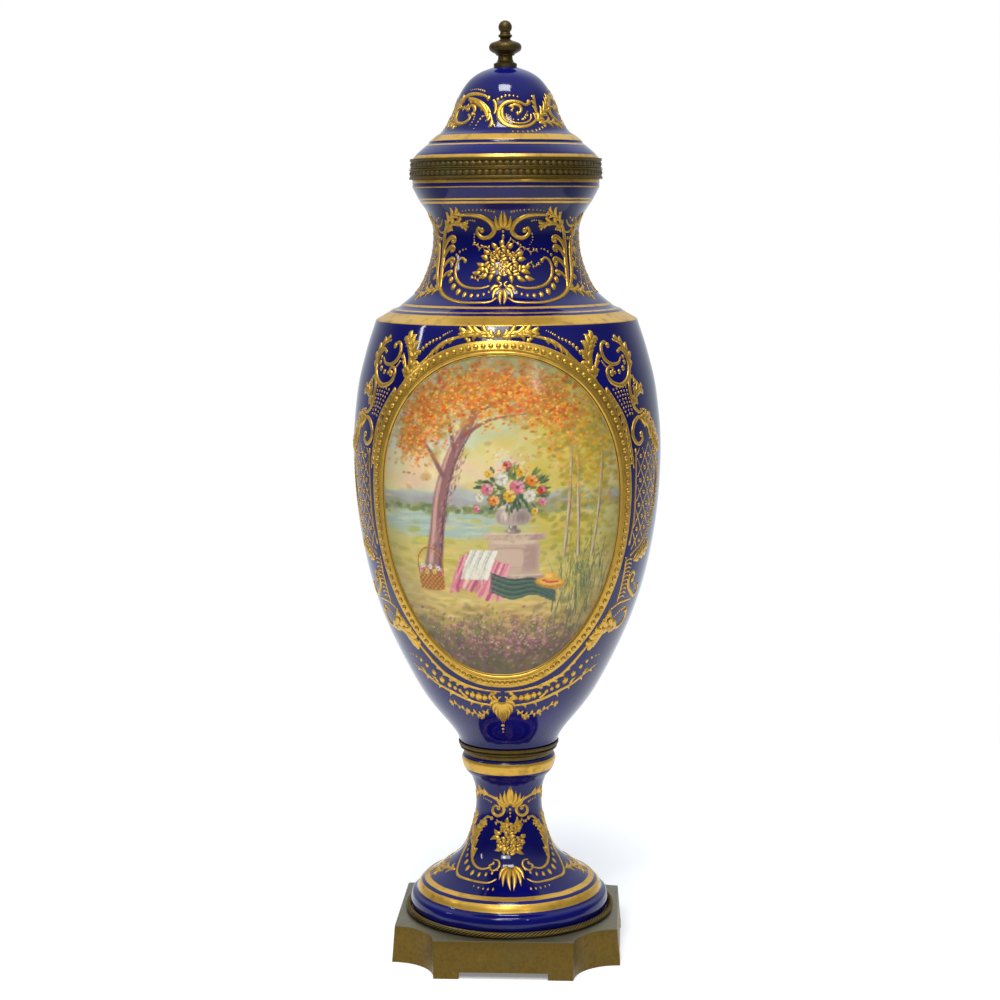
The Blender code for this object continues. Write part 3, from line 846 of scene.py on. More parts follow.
class Wall:
    """The outside of a turned porcelain piece, for laying ornament on it.

    A place on it is given in millimetres: across, round the wall at its reference radius from the middle of
    the front; up, from its middle height; and lift, off the glaze.
    """

    def __init__(self, curve, reference, middle):
        self.heights, self.radii = flat_outline(curve)
        self.slopes = np.gradient(self.radii, self.heights + np.arange(len(self.heights)) * 1e-6)
        self.reference = reference
        self.middle = middle

    def spot(self, across, up, lift=0.0):
        height = self.middle + up
        slope = float(np.interp(height, self.heights, self.slopes))
        length = math.hypot(1.0, slope)
        reach = float(np.interp(height, self.heights, self.radii)) + lift / length
        angle = across / self.reference
        return Vector((reach * math.sin(angle), -reach * math.cos(angle),
                       height - lift * slope / length)) * MM

    def flatten(self, mesh, share):
        """Press the mesh towards the glaze, to the given share of how far it stands off it."""
        places = np.empty(len(mesh.vertices) * 3)
        mesh.vertices.foreach_get("co", places)
        places = places.reshape(-1, 3) / MM
        reach = np.hypot(places[:, 0], places[:, 1])
        slope = np.interp(places[:, 2], self.heights, self.slopes)
        length = np.hypot(1.0, slope)
        off = (reach - np.interp(places[:, 2], self.heights, self.radii)) / length
        shift = off * (share - 1.0)
        scale = 1.0 + shift / length / reach
        places[:, 0] *= scale
        places[:, 1] *= scale
        places[:, 2] -= shift * slope / length
        mesh.vertices.foreach_set("co", (places * MM).ravel())
        mesh.update()


def run_length(curve):
    """The length of a line through the points."""
    return sum((after - before).length for before, after in zip(curve, curve[1:]))


def along(points, share):
    """The place and the direction at a share of the way along a list of points."""
    step = min(int(share * (len(points) - 1)), len(points) - 2)
    way = points[step + 1] - points[step]
    return points[step] + way * (share * (len(points) - 1) - step), way.normalized()


class Gilder:
    """Lays raised gilding on a wall: strokes, leaves, dots and flowers, made into one mesh at the end.

    Places are (across, up) in millimetres, counted from the axis of the motif. Side -1 mirrors them.
    """

    def __init__(self, wall, boldness=1.25):
        self.wall = wall
        self.boldness = boldness
        self.strokes = []
        self.axis = 0.0
        self.side = 1.0

    def on(self, axis, side=1.0):
        self.axis = axis
        self.side = side
        return self

    def stroke(self, places, widths, steps=5):
        """A raised line through the places; its widths are spread evenly from its start to its end."""
        curve = smooth([point(*place) for place in places], steps) if steps > 1 else list(places)
        shares = np.linspace(0.0, 1.0, len(curve))
        wide = np.interp(shares, np.linspace(0.0, 1.0, len(widths)), widths) * self.boldness
        laid = [(self.axis + self.side * spot.x, spot.y, width) for spot, width in zip(curve, wide)]
        self.strokes.append(laid)
        return curve

    def dot(self, place, size):
        """A round bead of paste."""
        profile = ((-0.5, 0.20), (-0.34, 0.76), (0.0, 1.0), (0.34, 0.76), (0.5, 0.20))
        across, up = place
        size *= self.boldness
        self.strokes.append([(self.axis + self.side * across, up + share * size, wide * size)
                             for share, wide in profile])

    def dots(self, places, start, end, spacing):
        """Beads along a curve, growing or shrinking from the start size to the end size."""
        curve = smooth([point(*place) for place in places], 8)
        length = run_length(curve)
        count = max(2, round(length / spacing) + 1)
        for index in range(count):
            share = index / (count - 1)
            spot, _ = along(curve, share)
            self.dot(spot, start + (end - start) * share)

    def leaf(self, base, tip, width, bend=0.0):
        """A small leaf: pointed, widest near its base, and bent sideways by a share of its length."""
        base = point(*base)
        way = point(*tip) - base
        aside = point(-way.y, way.x) * bend
        self.stroke([base, base + way * 0.45 + aside, base + way],
                    (width * 0.45, width, width * 0.8, 0.15), 3)

    def beads(self, pairs, scale=1.0):
        """Separate beads, each a place and a size."""
        for place, size in pairs:
            self.dot(place, size * scale)

    def fan(self, *leaves):
        """Several leaves, each a base, a tip, a width and a bend."""
        for leaf in leaves:
            self.leaf(*leaf)

    def volute(self, places, widths, eye):
        """A scroll that ends in a round eye at its first place."""
        self.dot(places[0], eye)
        return self.stroke(places, widths)

    def plume(self, places, width, lobes, reach, sides=(1.0, -1.0), spread=46.0):
        """An acanthus leaf: a curved rib with close lobes that grow and shrink along it."""
        rib = self.stroke(places, (width, width * 1.1, width * 0.5))
        lobes = max(3, round(lobes * LOBE_SHARE))
        reach = reach * LOBE_REACH
        length = run_length(rib)
        fill = min(max(width * 0.8, length / lobes * 0.85), reach * 0.42)
        for index in range(lobes):
            share = (index + 0.2) / lobes
            spot, way = along(rib, share * 0.94)
            way = way * reach * (0.55 + 0.65 * math.sin(math.pi * (share * 0.8 + 0.14)))
            for side in sides:
                out = Matrix.Rotation(math.radians(spread * side), 2) @ way
                roll = Matrix.Rotation(math.radians((spread + 30.0) * side), 2) @ way
                self.stroke([spot, spot + way * 0.30 + out * 0.22, spot + way * 0.34 + out * 0.58,
                             spot + way * 0.24 + out * 0.70 + roll * 0.22],
                            (fill * 0.7, fill * 1.1, fill * 0.95, fill * 0.12), 3)

    def frond(self, base, tip, width, side):
        """A leaf that rises, bows over and rolls up at its tip."""
        base = point(*base)
        way = point(*tip) - base
        aside = point(-way.y, way.x) * side
        places = [base, base + way * 0.45 + aside * 0.20, base + way * 0.88 + aside * 0.16, base + way,
                  base + way * 0.90 - aside * 0.10, base + way * 0.78 - aside * 0.02]
        self.stroke(places, (width * 0.9, width * 1.15, width * 1.1, width * 0.8, width * 0.5), 4)
        self.dot(places[-1], width * 0.95)

    def sprig(self, places, width, leaves, length):
        """A thin wavy stem with small leaves on both sides and a bud at its end."""
        stem = self.stroke(places, (width, width * 0.7))
        for index in range(leaves):
            share = (index + 0.8) / (leaves + 0.3)
            spot, way = along(stem, min(share, 0.98))
            side = 1.0 if index % 2 else -1.0
            tip = spot + Matrix.Rotation(math.radians(58.0 * side), 2) @ way * length
            self.leaf(spot, tip, width * 1.9, -0.15 * side)
        self.dot(stem[-1], width * 2.2)

    def rose(self, centre, radius):
        """A rose seen from the front: a ring of petals round a coiled heart."""
        centre = point(*centre)
        bold = 1.0 / self.boldness
        for ring, (share, petals, width) in enumerate(((0.80, 5, 0.52), (0.40, 3, 0.42))):
            for petal in range(petals):
                middle = math.tau * (petal + ring * 0.4) / petals
                swing = math.pi / petals * 0.86
                places = []
                for turn in (-swing, -swing * 0.4, swing * 0.4, swing):
                    bow = share * (1.0 + 0.10 * turn / swing)
                    angle = middle + turn
                    places.append(centre + heading(angle) * radius * bow)
                wide = radius * width * bold
                self.stroke(places, (wide * 0.5, wide * 1.1, wide * 0.8), 2)
        self.dot(centre, radius * 0.36 * bold)

    def diamonds(self, region, pitch_across, pitch_up, line, dot):
        """A diamond trellis inside an outline, with a bead in the middle of each diamond."""
        region = [point(*place) for place in region]
        left = min(place.x for place in region)
        right = max(place.x for place in region)
        low = min(place.y for place in region)
        rows = math.ceil((max(place.y for place in region) - low) / pitch_up)
        columns = int((right - left) / pitch_across) + 1
        for column in range(-rows, columns + rows + 1):
            for lean in (1.0, -1.0):
                run = []
                for step in range(rows * 12 + 1):
                    rise = step / 12
                    spot = point(left + (column + lean * rise) * pitch_across, low + rise * pitch_up)
                    if self.inside(region, spot):
                        run.append(spot)
                    else:
                        self.trellis_line(run, line)
                        run = []
                self.trellis_line(run, line)
        for row in range(rows * 2 + 1):
            shift = 0.0 if row % 2 else 0.5
            for column in range(-1, columns + 1):
                spot = point(left + (column + shift) * pitch_across, low + row * pitch_up / 2)
                if self.inside(region, spot):
                    self.dot(spot, dot)

    def trellis_line(self, run, line):
        if len(run) > 1:
            self.stroke([run[0], (run[0] + run[-1]) / 2, run[-1]], (line, line), 4)

    def inside(self, region, spot):
        """Whether a place lies inside a closed outline."""
        crossings = 0
        for start, end in zip(region, region[1:] + region[:1]):
            if (start.y > spot.y) != (end.y > spot.y):
                meets = start.x + (spot.y - start.y) / (end.y - start.y) * (end.x - start.x)
                crossings += spot.x < meets
        return crossings % 2 == 1

    def fire(self, name):
        """Make all strokes one mesh, pressed to a low relief."""
        curve = bpy.data.curves.new(name, "CURVE")
        curve.dimensions = "3D"
        curve.bevel_depth = 0.5 * MM
        curve.bevel_resolution = 1
        curve.use_fill_caps = True
        for stroke in self.strokes:
            spline = curve.splines.new("POLY")
            spline.points.add(len(stroke) - 1)
            for corner, (across, up, width) in zip(spline.points, stroke):
                corner.co = (*self.wall.spot(across, up), 1.0)
                corner.radius = width
        guide = bpy.data.objects.new(name, curve)
        mesh = bpy.data.meshes.new_from_object(guide)
        mesh.name = name
        bpy.data.objects.remove(guide)
        bpy.data.curves.remove(curve)
        bm = bmesh.new()
        bm.from_mesh(mesh)
        bmesh.ops.remove_doubles(bm, verts=bm.verts, dist=MERGE)
        bm.to_mesh(mesh)
        bm.free()
        self.wall.flatten(mesh, GILDING_RELIEF)
        mesh.materials.clear()
        return placed(name, mesh, raised_gold(name + "_gold"), "gilding")


# The oval frame and the panel inside it: a superellipse of this fullness about this height, in millimetres
PANEL_MIDDLE = 443.5
PANEL_FULLNESS = 2.3
FRAME_INNER = (121.0, 149.3)
FRAME_OUTER = (138.9, 163.3)


def body_wall():
    return Wall(body_curves(), BODY_REFERENCE, PANEL_MIDDLE)


def oval(turn, share):
    """A place on the oval. Turn goes round from 0 to 1, and share from the outer edge, 0, to the inner, 1."""
    angle = math.tau * turn
    half_width = FRAME_OUTER[0] + (FRAME_INNER[0] - FRAME_OUTER[0]) * share
    half_height = FRAME_OUTER[1] + (FRAME_INNER[1] - FRAME_OUTER[1]) * share
    power = 2.0 / PANEL_FULLNESS
    across = math.copysign(abs(math.cos(angle)) ** power, math.cos(angle)) * half_width
    up = math.copysign(abs(math.sin(angle)) ** power, math.sin(angle)) * half_height
    return point(across, up)


def even_turns(count, share):
    """Turns of the oval that give places the same distance apart."""
    fine = 1440
    places = [oval(step / fine, share) for step in range(fine + 1)]
    lengths = np.cumsum([0.0] + [(after - before).length for before, after in zip(places, places[1:])])
    wanted = np.arange(count) / count * lengths[-1]
    return np.interp(wanted, lengths, np.arange(fine + 1) / fine)


class AMPHORA_OT_oval_frame(bpy.types.Operator):
    """Model the raised gilt frame and its beads round the painted panel"""

    bl_idname = "amphora.oval_frame"
    bl_label = "Oval Frame"

    def execute(self, context):
        wall = body_wall()
        section = ((0.0, -0.6), (0.0, 0.7), (0.03, 1.15), (0.08, 1.3), (0.20, 1.2), (0.50, 1.2), (0.60, 1.25),
                   (0.645, 1.1), (0.665, 0.75), (0.69, 1.2), (0.73, 1.9), (0.775, 2.3), (0.82, 2.35),
                   (0.86, 2.0), (0.89, 1.3), (0.92, 0.6), (0.94, 0.45), (0.955, 0.85), (0.985, 0.85),
                   (1.0, 0.3), (1.0, -0.6))
        grooves = (0.92, 0.94, 0.665)
        stations = 320
        turns = list(even_turns(stations, 0.5)) + [1.0]
        bm = bmesh.new()
        bmesh.ops.create_grid(bm, x_segments=stations, y_segments=len(section), size=1.0)
        shade = bm.verts.layers.float.new("hollow")
        for corner in bm.verts:
            station = round((corner.co.x + 1.0) / 2.0 * stations)
            step = round((corner.co.y + 1.0) / 2.0 * len(section)) % len(section)
            share, lift = section[step]
            spot = oval(turns[station] % 1.0, share)
            # Painted shade in the grooves of the frame
            corner[shade] = 1.0 if share in grooves else 0.0
            corner.co = wall.spot(spot.x, spot.y, lift)
        bmesh.ops.remove_doubles(bm, verts=bm.verts, dist=MERGE)
        bmesh.ops.recalc_face_normals(bm, faces=bm.faces)
        finished("oval_frame", bm, raised_gold("frame_gold"), "gilding")
        self.make_beads(wall)
        return {"FINISHED"}

    def make_beads(self, wall):
        bead_count, bead_course, bead_radius = 124, 0.36, 2.6
        bm = bmesh.new()
        shade = bm.verts.layers.float.new("hollow")
        for turn in even_turns(bead_count, bead_course):
            spot = oval(turn, bead_course)
            heart = wall.spot(spot.x, spot.y, 1.2)
            out = wall.spot(spot.x, spot.y, 2.2) - heart
            press = Matrix.Diagonal((1.0, 1.0, 0.75, 1.0))
            place = Matrix.Translation(heart) @ out.to_track_quat("Z", "Y").to_matrix().to_4x4() @ press
            bead = bmesh.ops.create_icosphere(bm, subdivisions=3, radius=bead_radius * MM,
                                              matrix=place)["verts"]
            # Painted shade: a dark ring round the foot of each bead, fading out up its side
            for corner in bead:
                rise = (corner.co - heart).dot(out) / out.length_squared
                corner[shade] = 0.85 * min(1.0, max(0.0, 1.0 - rise / 1.3))
        finished("oval_beads", bm, raised_gold("bead_gold", False), "gilding")


class PaintingSettings(bpy.types.PropertyGroup):
    """The garden scene in the oval."""

    seed: bpy.props.IntProperty(name="Seed", description="Another seed lays the brush marks afresh",
                                default=7, min=0)
    density: bpy.props.FloatProperty(
        name="Density", description="Picture points in a millimetre", default=1.7, min=0.5, max=4.0)
    columns: bpy.props.IntProperty(
        name="Columns", description="Steps of the painted surface across the oval", default=290,
        min=50, max=310)
    rows: bpy.props.IntProperty(
        name="Rows", description="Steps of the painted surface up the oval", default=350, min=50, max=370)


class Painter:
    """Lays soft brush marks, in millimetres about the middle of the oval. Colours are from 0 to 255."""

    def __init__(self, half_width, half_height, density, seed):
        self.dice = random.Random(seed)
        self.density = density
        self.half_width = half_width
        self.half_height = half_height
        self.across = (np.arange(int(half_width * 2 * density)) + 0.5) / density - half_width
        self.up = (np.arange(int(half_height * 2 * density)) + 0.5) / density - half_height
        self.canvas = np.zeros((len(self.up), len(self.across), 3))

    def wash(self, *stops):
        """Cover the canvas with colours that run into each other from the bottom up."""
        heights = [height for height, _ in stops]
        for channel in range(3):
            column = np.interp(self.up, heights, [colour[channel] for _, colour in stops])
            self.canvas[:, :, channel] = column[:, None]

    def dab(self, across, up, length, width, lean, colour, strength, power=2.0, soft=0.5):
        """One mark of the brush: an oval, or with a higher power a block, leaning by degrees."""
        reach = max(length, width) * (1.42 if power > 2.0 else 1.0)
        left = max(0, int((across - reach + self.half_width) * self.density))
        right = min(len(self.across), int((across + reach + self.half_width) * self.density) + 2)
        low = max(0, int((up - reach + self.half_height) * self.density))
        high = min(len(self.up), int((up + reach + self.half_height) * self.density) + 2)
        if left >= right or low >= high:
            return
        beside = self.across[None, left:right] - across
        above = self.up[low:high, None] - up
        cosine = math.cos(math.radians(lean))
        sine = math.sin(math.radians(lean))
        along_mark = np.abs(beside * cosine + above * sine) / length
        off_mark = np.abs(above * cosine - beside * sine) / width
        distance = (along_mark ** power + off_mark ** power) ** (1.0 / power)
        cover = np.clip((1.0 - distance) / soft, 0.0, 1.0) * strength
        patch = self.canvas[low:high, left:right]
        patch += (np.array(colour) - patch) * cover[:, :, None]

    def brush(self, places, widths, colour, strength=0.9, soft=0.6):
        """A painted line through the places."""
        curve = smooth([point(*place) for place in places], 8)
        shares = np.linspace(0.0, 1.0, len(curve))
        wide = np.interp(shares, np.linspace(0.0, 1.0, len(widths)), widths)
        for start, end, width in zip(curve, curve[1:], wide):
            way = end - start
            lean = math.degrees(math.atan2(way.y, way.x))
            middle = (start + end) / 2
            self.dab(middle.x, middle.y, way.length * 0.8 + width * 0.5, width, lean, colour, strength,
                     soft=soft)

    def cloud(self, centre, spread, count, sizes, colours, strength=0.6, lean=0.0, flat=0.6, sway=40.0):
        """Many marks scattered about a centre: leaves, clouds, ripples or grass."""
        for _ in range(count):
            across = self.dice.gauss(centre[0], spread[0])
            up = self.dice.gauss(centre[1], spread[1])
            size = self.dice.uniform(*sizes)
            colour = self.varied(self.dice.choice(colours), 12.0)
            turn = lean + self.dice.uniform(-sway, sway)
            self.dab(across, up, size, size * flat, turn, colour, strength * self.dice.uniform(0.6, 1.0))

    def varied(self, colour, amount):
        shift = self.dice.uniform(-amount, amount)
        moved = [channel + shift + self.dice.uniform(-amount, amount) * 0.4 for channel in colour]
        return [min(255.0, max(0.0, channel)) for channel in moved]

    def bloom(self, across, up, radius, colour, heart):
        """A full rose: shaded outer petals round a coiled heart."""
        shade = [channel * 0.72 for channel in colour]
        light = [channel + (255.0 - channel) * 0.45 for channel in colour]
        self.dab(across, up, radius, radius * 0.94, 0.0, shade, 0.95, soft=0.25)
        for ring, share in ((7, 0.66), (5, 0.38)):
            for petal in range(ring):
                angle = math.tau * (petal + self.dice.uniform(-0.2, 0.2)) / ring
                spot_across = across + math.cos(angle) * radius * share
                spot_up = up + math.sin(angle) * radius * share
                tone = light if math.sin(angle + 0.8) > -0.1 else colour
                self.dab(spot_across, spot_up, radius * 0.36, radius * 0.22, math.degrees(angle) + 90.0,
                         self.varied(tone, 8.0), 0.8, soft=0.5)
        self.dab(across, up, radius * 0.24, radius * 0.18, 20.0, heart, 0.85)

    def leafage(self, places, length, colours):
        for across, up, lean in places:
            colour = self.varied(self.dice.choice(colours), 10.0)
            self.dab(across, up, length, length * 0.36, lean, colour, 0.9, soft=0.35)
            light = [channel + (255.0 - channel) * 0.25 for channel in colour]
            self.dab(across, up + 0.4, length * 0.8, 0.5, lean, light, 0.6)


def paint_sky(art):
    """Pale blue-green air over a cream glow, with far hills over a lake."""
    art.wash((-150, (128, 112, 92)), (-92, (188, 168, 112)), (-40, (206, 190, 132)), (0, (196, 192, 140)),
             (26, (222, 208, 158)), (66, (216, 210, 176)), (108, (188, 196, 178)), (150, (168, 172, 140)))
    art.cloud((-60, 74), (40, 34), 150, (10, 26), ((198, 208, 200), (222, 218, 190), (210, 208, 188)), 0.35)
    art.cloud((-34, 46), (44, 12), 70, (9, 20), ((236, 222, 178), (230, 206, 172), (226, 198, 176)), 0.4)
    art.cloud((58, 58), (34, 44), 240, (8, 20), ((206, 188, 112), (190, 176, 104), (216, 200, 132)), 0.4)
    for up, height, colour in ((22, 12, (178, 184, 182)), (17, 10, (172, 168, 168)),
                               (12, 8, (158, 164, 140))):
        for step in range(26):
            across = -125 + step * 10
            rise = height * (0.6 + 0.5 * math.sin(step * 0.9 + up) * math.cos(step * 0.37))
            art.dab(across, up, 11, rise, 0, art.varied(colour, 5), 0.75)
    art.dab(-52, -4, 84, 15, 0, (178, 192, 184), 0.9, soft=0.3)
    art.cloud((-52, -3), (38, 6), 170, (5, 14), ((198, 206, 192), (160, 178, 176), (214, 212, 184)), 0.45,
              flat=0.10, sway=3)
    art.cloud((-48, 10), (46, 2.4), 120, (2, 5), ((122, 136, 92), (146, 148, 98), (110, 124, 100)), 0.7)


def paint_ground(art):
    """A sunny path through the grass, mauve bushes in front and reeds by the water."""
    art.cloud((10, -36), (70, 16), 420, (4, 12),
              ((186, 178, 96), (206, 190, 118), (160, 160, 84), (218, 198, 134)), 0.5, flat=0.3, sway=12)
    art.cloud((0, -74), (70, 13), 420, (5, 14),
              ((222, 202, 146), (208, 184, 122), (196, 170, 116), (226, 208, 160)), 0.5, flat=0.22, sway=10)
    art.cloud((0, -92), (64, 6), 260, (3, 9), ((176, 148, 98), (152, 134, 92), (198, 172, 118)), 0.5,
              flat=0.25, sway=10)
    art.cloud((0, -124), (60, 14), 620, (3, 9),
              ((112, 104, 74), (138, 120, 84), (120, 92, 92), (96, 98, 70)), 0.55)
    art.cloud((6, -114), (46, 12), 700, (1.2, 3.2),
              ((168, 118, 136), (190, 144, 150), (146, 98, 122), (206, 166, 158), (128, 88, 108)), 0.75)
    art.cloud((10, -106), (50, 9), 260, (0.8, 1.8), ((226, 178, 172), (236, 206, 188), (210, 140, 150)), 0.85)
    art.cloud((-14, -104), (56, 9), 420, (1.4, 3.6), ((118, 126, 78), (142, 142, 84), (98, 110, 72)), 0.7,
              lean=70, flat=0.3)
    for _ in range(110):
        across = art.dice.gauss(84, 12)
        up = art.dice.gauss(-56, 16)
        lean = art.dice.uniform(-10, 12)
        colour = art.varied(art.dice.choice(((112, 122, 82), (146, 146, 92), (96, 108, 88),
                                             (176, 166, 104))), 10)
        art.brush(((across, up - 16), (across + lean * 0.3, up), (across + lean, up + 14)), (0.9, 0.8, 0.4),
                  colour, 0.75)


def paint_trees(art):
    """An old tree on the left with autumn leaves over the sky, and birches in yellow leaf on the right."""
    art.cloud((80, 50), (22, 46), 900, (2, 6),
              ((166, 154, 78), (190, 172, 92), (146, 140, 74), (206, 178, 96), (130, 128, 74)), 0.55)
    for across, lean, width in ((62, 5, 2.6), (77, -4, 2.2), (92, 7, 2.4)):
        art.brush(((across, -34), (across + lean * 0.6, 10), (across + lean, 60), (across + lean * 2.2, 104)),
                  (width, width * 0.9, width * 0.6), (176, 160, 138), 0.85)
        art.brush(((across - 0.8, -34), (across - 0.8 + lean * 0.6, 10), (across - 0.8 + lean, 60)),
                  (0.8, 0.7, 0.5), (226, 214, 190), 0.8)
        art.brush(((across + 1.2, -34), (across + 1.2 + lean * 0.6, 10), (across + 1.2 + lean, 60)),
                  (0.7, 0.6, 0.4), (118, 98, 96), 0.7)
    art.cloud((84, 78), (17, 26), 700, (1.2, 3.4),
              ((222, 190, 94), (198, 168, 74), (210, 150, 70), (170, 156, 78)), 0.7)
    art.brush(((-66, -44), (-60, -16), (-54, 22), (-42, 60), (-24, 94), (-6, 122)),
              (11, 8.6, 7.4, 6.4, 5, 3.2), (150, 116, 116), 0.95, 0.3)
    art.brush(((-69, -42), (-63, -14), (-57, 24), (-45, 62), (-27, 96)), (3.4, 3, 2.4, 1.8, 1.2),
              (214, 180, 168), 0.75)
    art.brush(((-59, -44), (-54, -14), (-48, 22), (-37, 58), (-19, 90)), (2.6, 2.2, 1.8, 1.4, 1),
              (98, 74, 84), 0.7)
    for places, width in ((((-50, 40), (-66, 66), (-86, 84)), 3.4), (((-40, 64), (-46, 92), (-58, 116)), 2.8),
                          (((-34, 76), (-8, 92), (26, 98)), 2.6), (((-20, 98), (6, 112), (34, 126)), 2)):
        art.brush(places, (width, width * 0.7, width * 0.3), (136, 104, 104), 0.9)
    for _ in range(200):
        share = art.dice.random()
        across = -62 + share * 30 + art.dice.uniform(-5, 5)
        art.dab(across, -30 + share * 96, 3.2, 0.7, 74 - share * 10,
                art.dice.choice(((112, 86, 92), (196, 160, 150), (164, 132, 128))), 0.5)
    leaves = ((206, 112, 56), (222, 146, 66), (190, 84, 58), (226, 178, 88), (170, 120, 62), (214, 128, 92))
    for centre, spread, count in (((-70, 96), (18, 14), 520), ((-30, 118), (26, 13), 760),
                                  ((20, 116), (26, 13), 720), ((54, 100), (14, 12), 300),
                                  ((-84, 70), (10, 12), 200)):
        art.cloud(centre, spread, count // 3, (3, 8), ((176, 134, 76), (160, 138, 84), (190, 142, 88)), 0.45)
        art.cloud(centre, spread, count, (1.1, 3), leaves, 0.75)
        art.cloud(centre, (spread[0] * 1.1, spread[1] * 1.1), count // 3, (0.9, 2),
                  ((232, 196, 116), (240, 214, 140)), 0.8)


def paint_urn(art):
    """A garden pedestal with an urn of roses, a basket at its foot and cloths laid over the step."""
    art.dab(10, -62, 66, 6, 0, (120, 104, 76), 0.6)
    stone = ((198, 178, 160), (172, 146, 138), (214, 198, 176))
    for across, up, half_width, half_height in ((14, -54, 35, 5), (14, -33, 25, 17), (14, -14, 30, 3.6)):
        art.dab(across, up, half_width, half_height, 0, stone[0], 1, 9, 0.06)
        art.dab(across + half_width * 0.62, up, half_width * 0.38, half_height, 0, stone[1], 0.8, 7, 0.5)
        art.dab(across, up + half_height * 0.86, half_width * 0.97, half_height * 0.14, 0, stone[2],
                0.9, 7, 0.3)
        art.cloud((across, up), (half_width * 0.4, half_height * 0.4), 60, (1, 4), stone, 0.35)
    art.dab(10, -33, 15, 10, 0, (184, 160, 150), 0.9, 6, 0.1)
    art.dab(10, -33.5, 13.6, 8.8, 0, (206, 186, 168), 0.9, 6, 0.1)
    for up, half_width, half_height, tone in ((-8.5, 8, 2.4, 0.9), (-4.5, 4, 3.4, 0.8), (5, 17, 8.6, 1),
                                              (13, 21, 2.6, 1.05)):
        base = [channel * tone for channel in (186, 172, 164)]
        art.dab(13, up, half_width, half_height, 0, base, 1, 2.6, 0.08)
        art.dab(13 + half_width * 0.5, up, half_width * 0.5, half_height, 0,
                [channel * 0.7 for channel in base], 0.7, 2.2, 0.8)
        art.dab(13 - half_width * 0.45, up + 0.6, half_width * 0.22, half_height * 0.7, 0,
                (232, 222, 204), 0.7)
    for turn in range(7):
        art.dab(0 + turn * 4.4, 3, 0.9, 4.6, 8 - turn * 2.6, (148, 128, 126), 0.6)
    greens = ((74, 96, 72), (98, 118, 76), (122, 134, 82), (60, 84, 74))
    for _ in range(150):
        angle = art.dice.uniform(0, math.tau)
        reach = art.dice.uniform(8, 30)
        leaf = (13 + math.cos(angle) * reach * 1.1, 30 + math.sin(angle) * reach * 0.72, math.degrees(angle))
        art.leafage([leaf], 4.2, greens)
    pink, white, yellow = (216, 140, 152), (232, 226, 210), (226, 186, 88)
    red, orange = (190, 84, 82), (220, 146, 70)
    for across, up, radius, colour, heart in (
            (-10, 30, 6.4, pink, (160, 70, 88)), (3, 39, 7.2, white, (214, 190, 130)),
        (17, 32, 8, pink, (158, 66, 84)),
            (30, 38, 6.4, orange, (170, 84, 40)), (10, 24, 6.8, yellow, (176, 120, 44)),
        (28, 24, 6.6, white, (206, 170, 130)),
            (-4, 20, 6, orange, (176, 90, 44)), (20, 46, 5.6, yellow, (180, 124, 50)),
        (-17, 22, 4.8, white, (206, 176, 130)),
            (39, 29, 4.8, red, (120, 40, 50)), (8, 52, 4.4, red, (120, 40, 50)),
        (-8, 44, 4.6, yellow, (180, 124, 50)),
            (40, 18, 4.4, pink, (160, 70, 88)), (-20, 12, 3.8, pink, (160, 70, 88)),
        (33, 10, 3.6, yellow, (180, 124, 50))):
        art.bloom(across, up, radius, colour, heart)
    art.cloud((12, 56), (16, 5), 60, (0.9, 1.8), ((206, 132, 148), (236, 220, 190), (226, 186, 100)), 0.9)
    paint_cloths(art)
    paint_basket(art)


def paint_cloths(art):
    """A rose-pink cloth over the step with a white one on it, a green ribbon and a straw hat."""
    pink = ((206, 138, 150), (226, 172, 176), (172, 98, 118), (238, 200, 196))
    for fold in range(34):
        share = fold / 33
        across = -44 + share * 46
        top = -34 + 6 * math.sin(share * 5)
        art.brush(((across + 8, top), (across + 2, top - 15), (across - 6 + 5 * math.sin(fold), top - 34)),
                  (1.8, 2.6, 2.2), pink[(0, 1, 2, 0, 3, 0, 2, 1)[fold % 8]], 0.9, 0.5)
    white = ((228, 224, 206), (206, 200, 190), (240, 238, 224), (182, 178, 176))
    for fold in range(20):
        share = fold / 19
        across = -34 + share * 24
        art.brush(((across + 8, -27), (across + 2, -40), (across - 3 + 3 * math.sin(fold * 2), -54)),
                  (1.6, 2.2, 1.6), white[(0, 2, 1, 0, 3, 2)[fold % 6]], 0.9, 0.5)
    green = ((66, 92, 82), (92, 118, 100), (48, 72, 70))
    for strand in range(12):
        lift = strand * 1.6
        art.brush(((-8, -66 + lift), (12, -72 + lift), (34, -68 + lift * 0.8), (56, -76 + lift * 0.5)),
                  (1, 1.7, 1.7, 0.9), green[strand % 3], 0.85, 0.5)
    art.dab(50, -58, 17, 6, -8, (190, 148, 70), 0.95, soft=0.15)
    art.dab(50, -57, 15, 4.6, -8, (226, 188, 104), 0.9, soft=0.3)
    art.dab(50, -53, 8.4, 5.6, -8, (212, 168, 84), 0.95, soft=0.2)
    art.dab(48, -51.4, 5, 3, -8, (238, 208, 132), 0.8)
    art.brush(((42, -55), (50, -57.6), (58.4, -56.8)), (1.2, 1.5, 1.2), (188, 76, 82), 0.95)
    for ring in range(3):
        art.brush(((35 + ring, -59), (50, -63 + ring), (65 - ring, -60)), (0.4, 0.4), (160, 118, 56), 0.6)


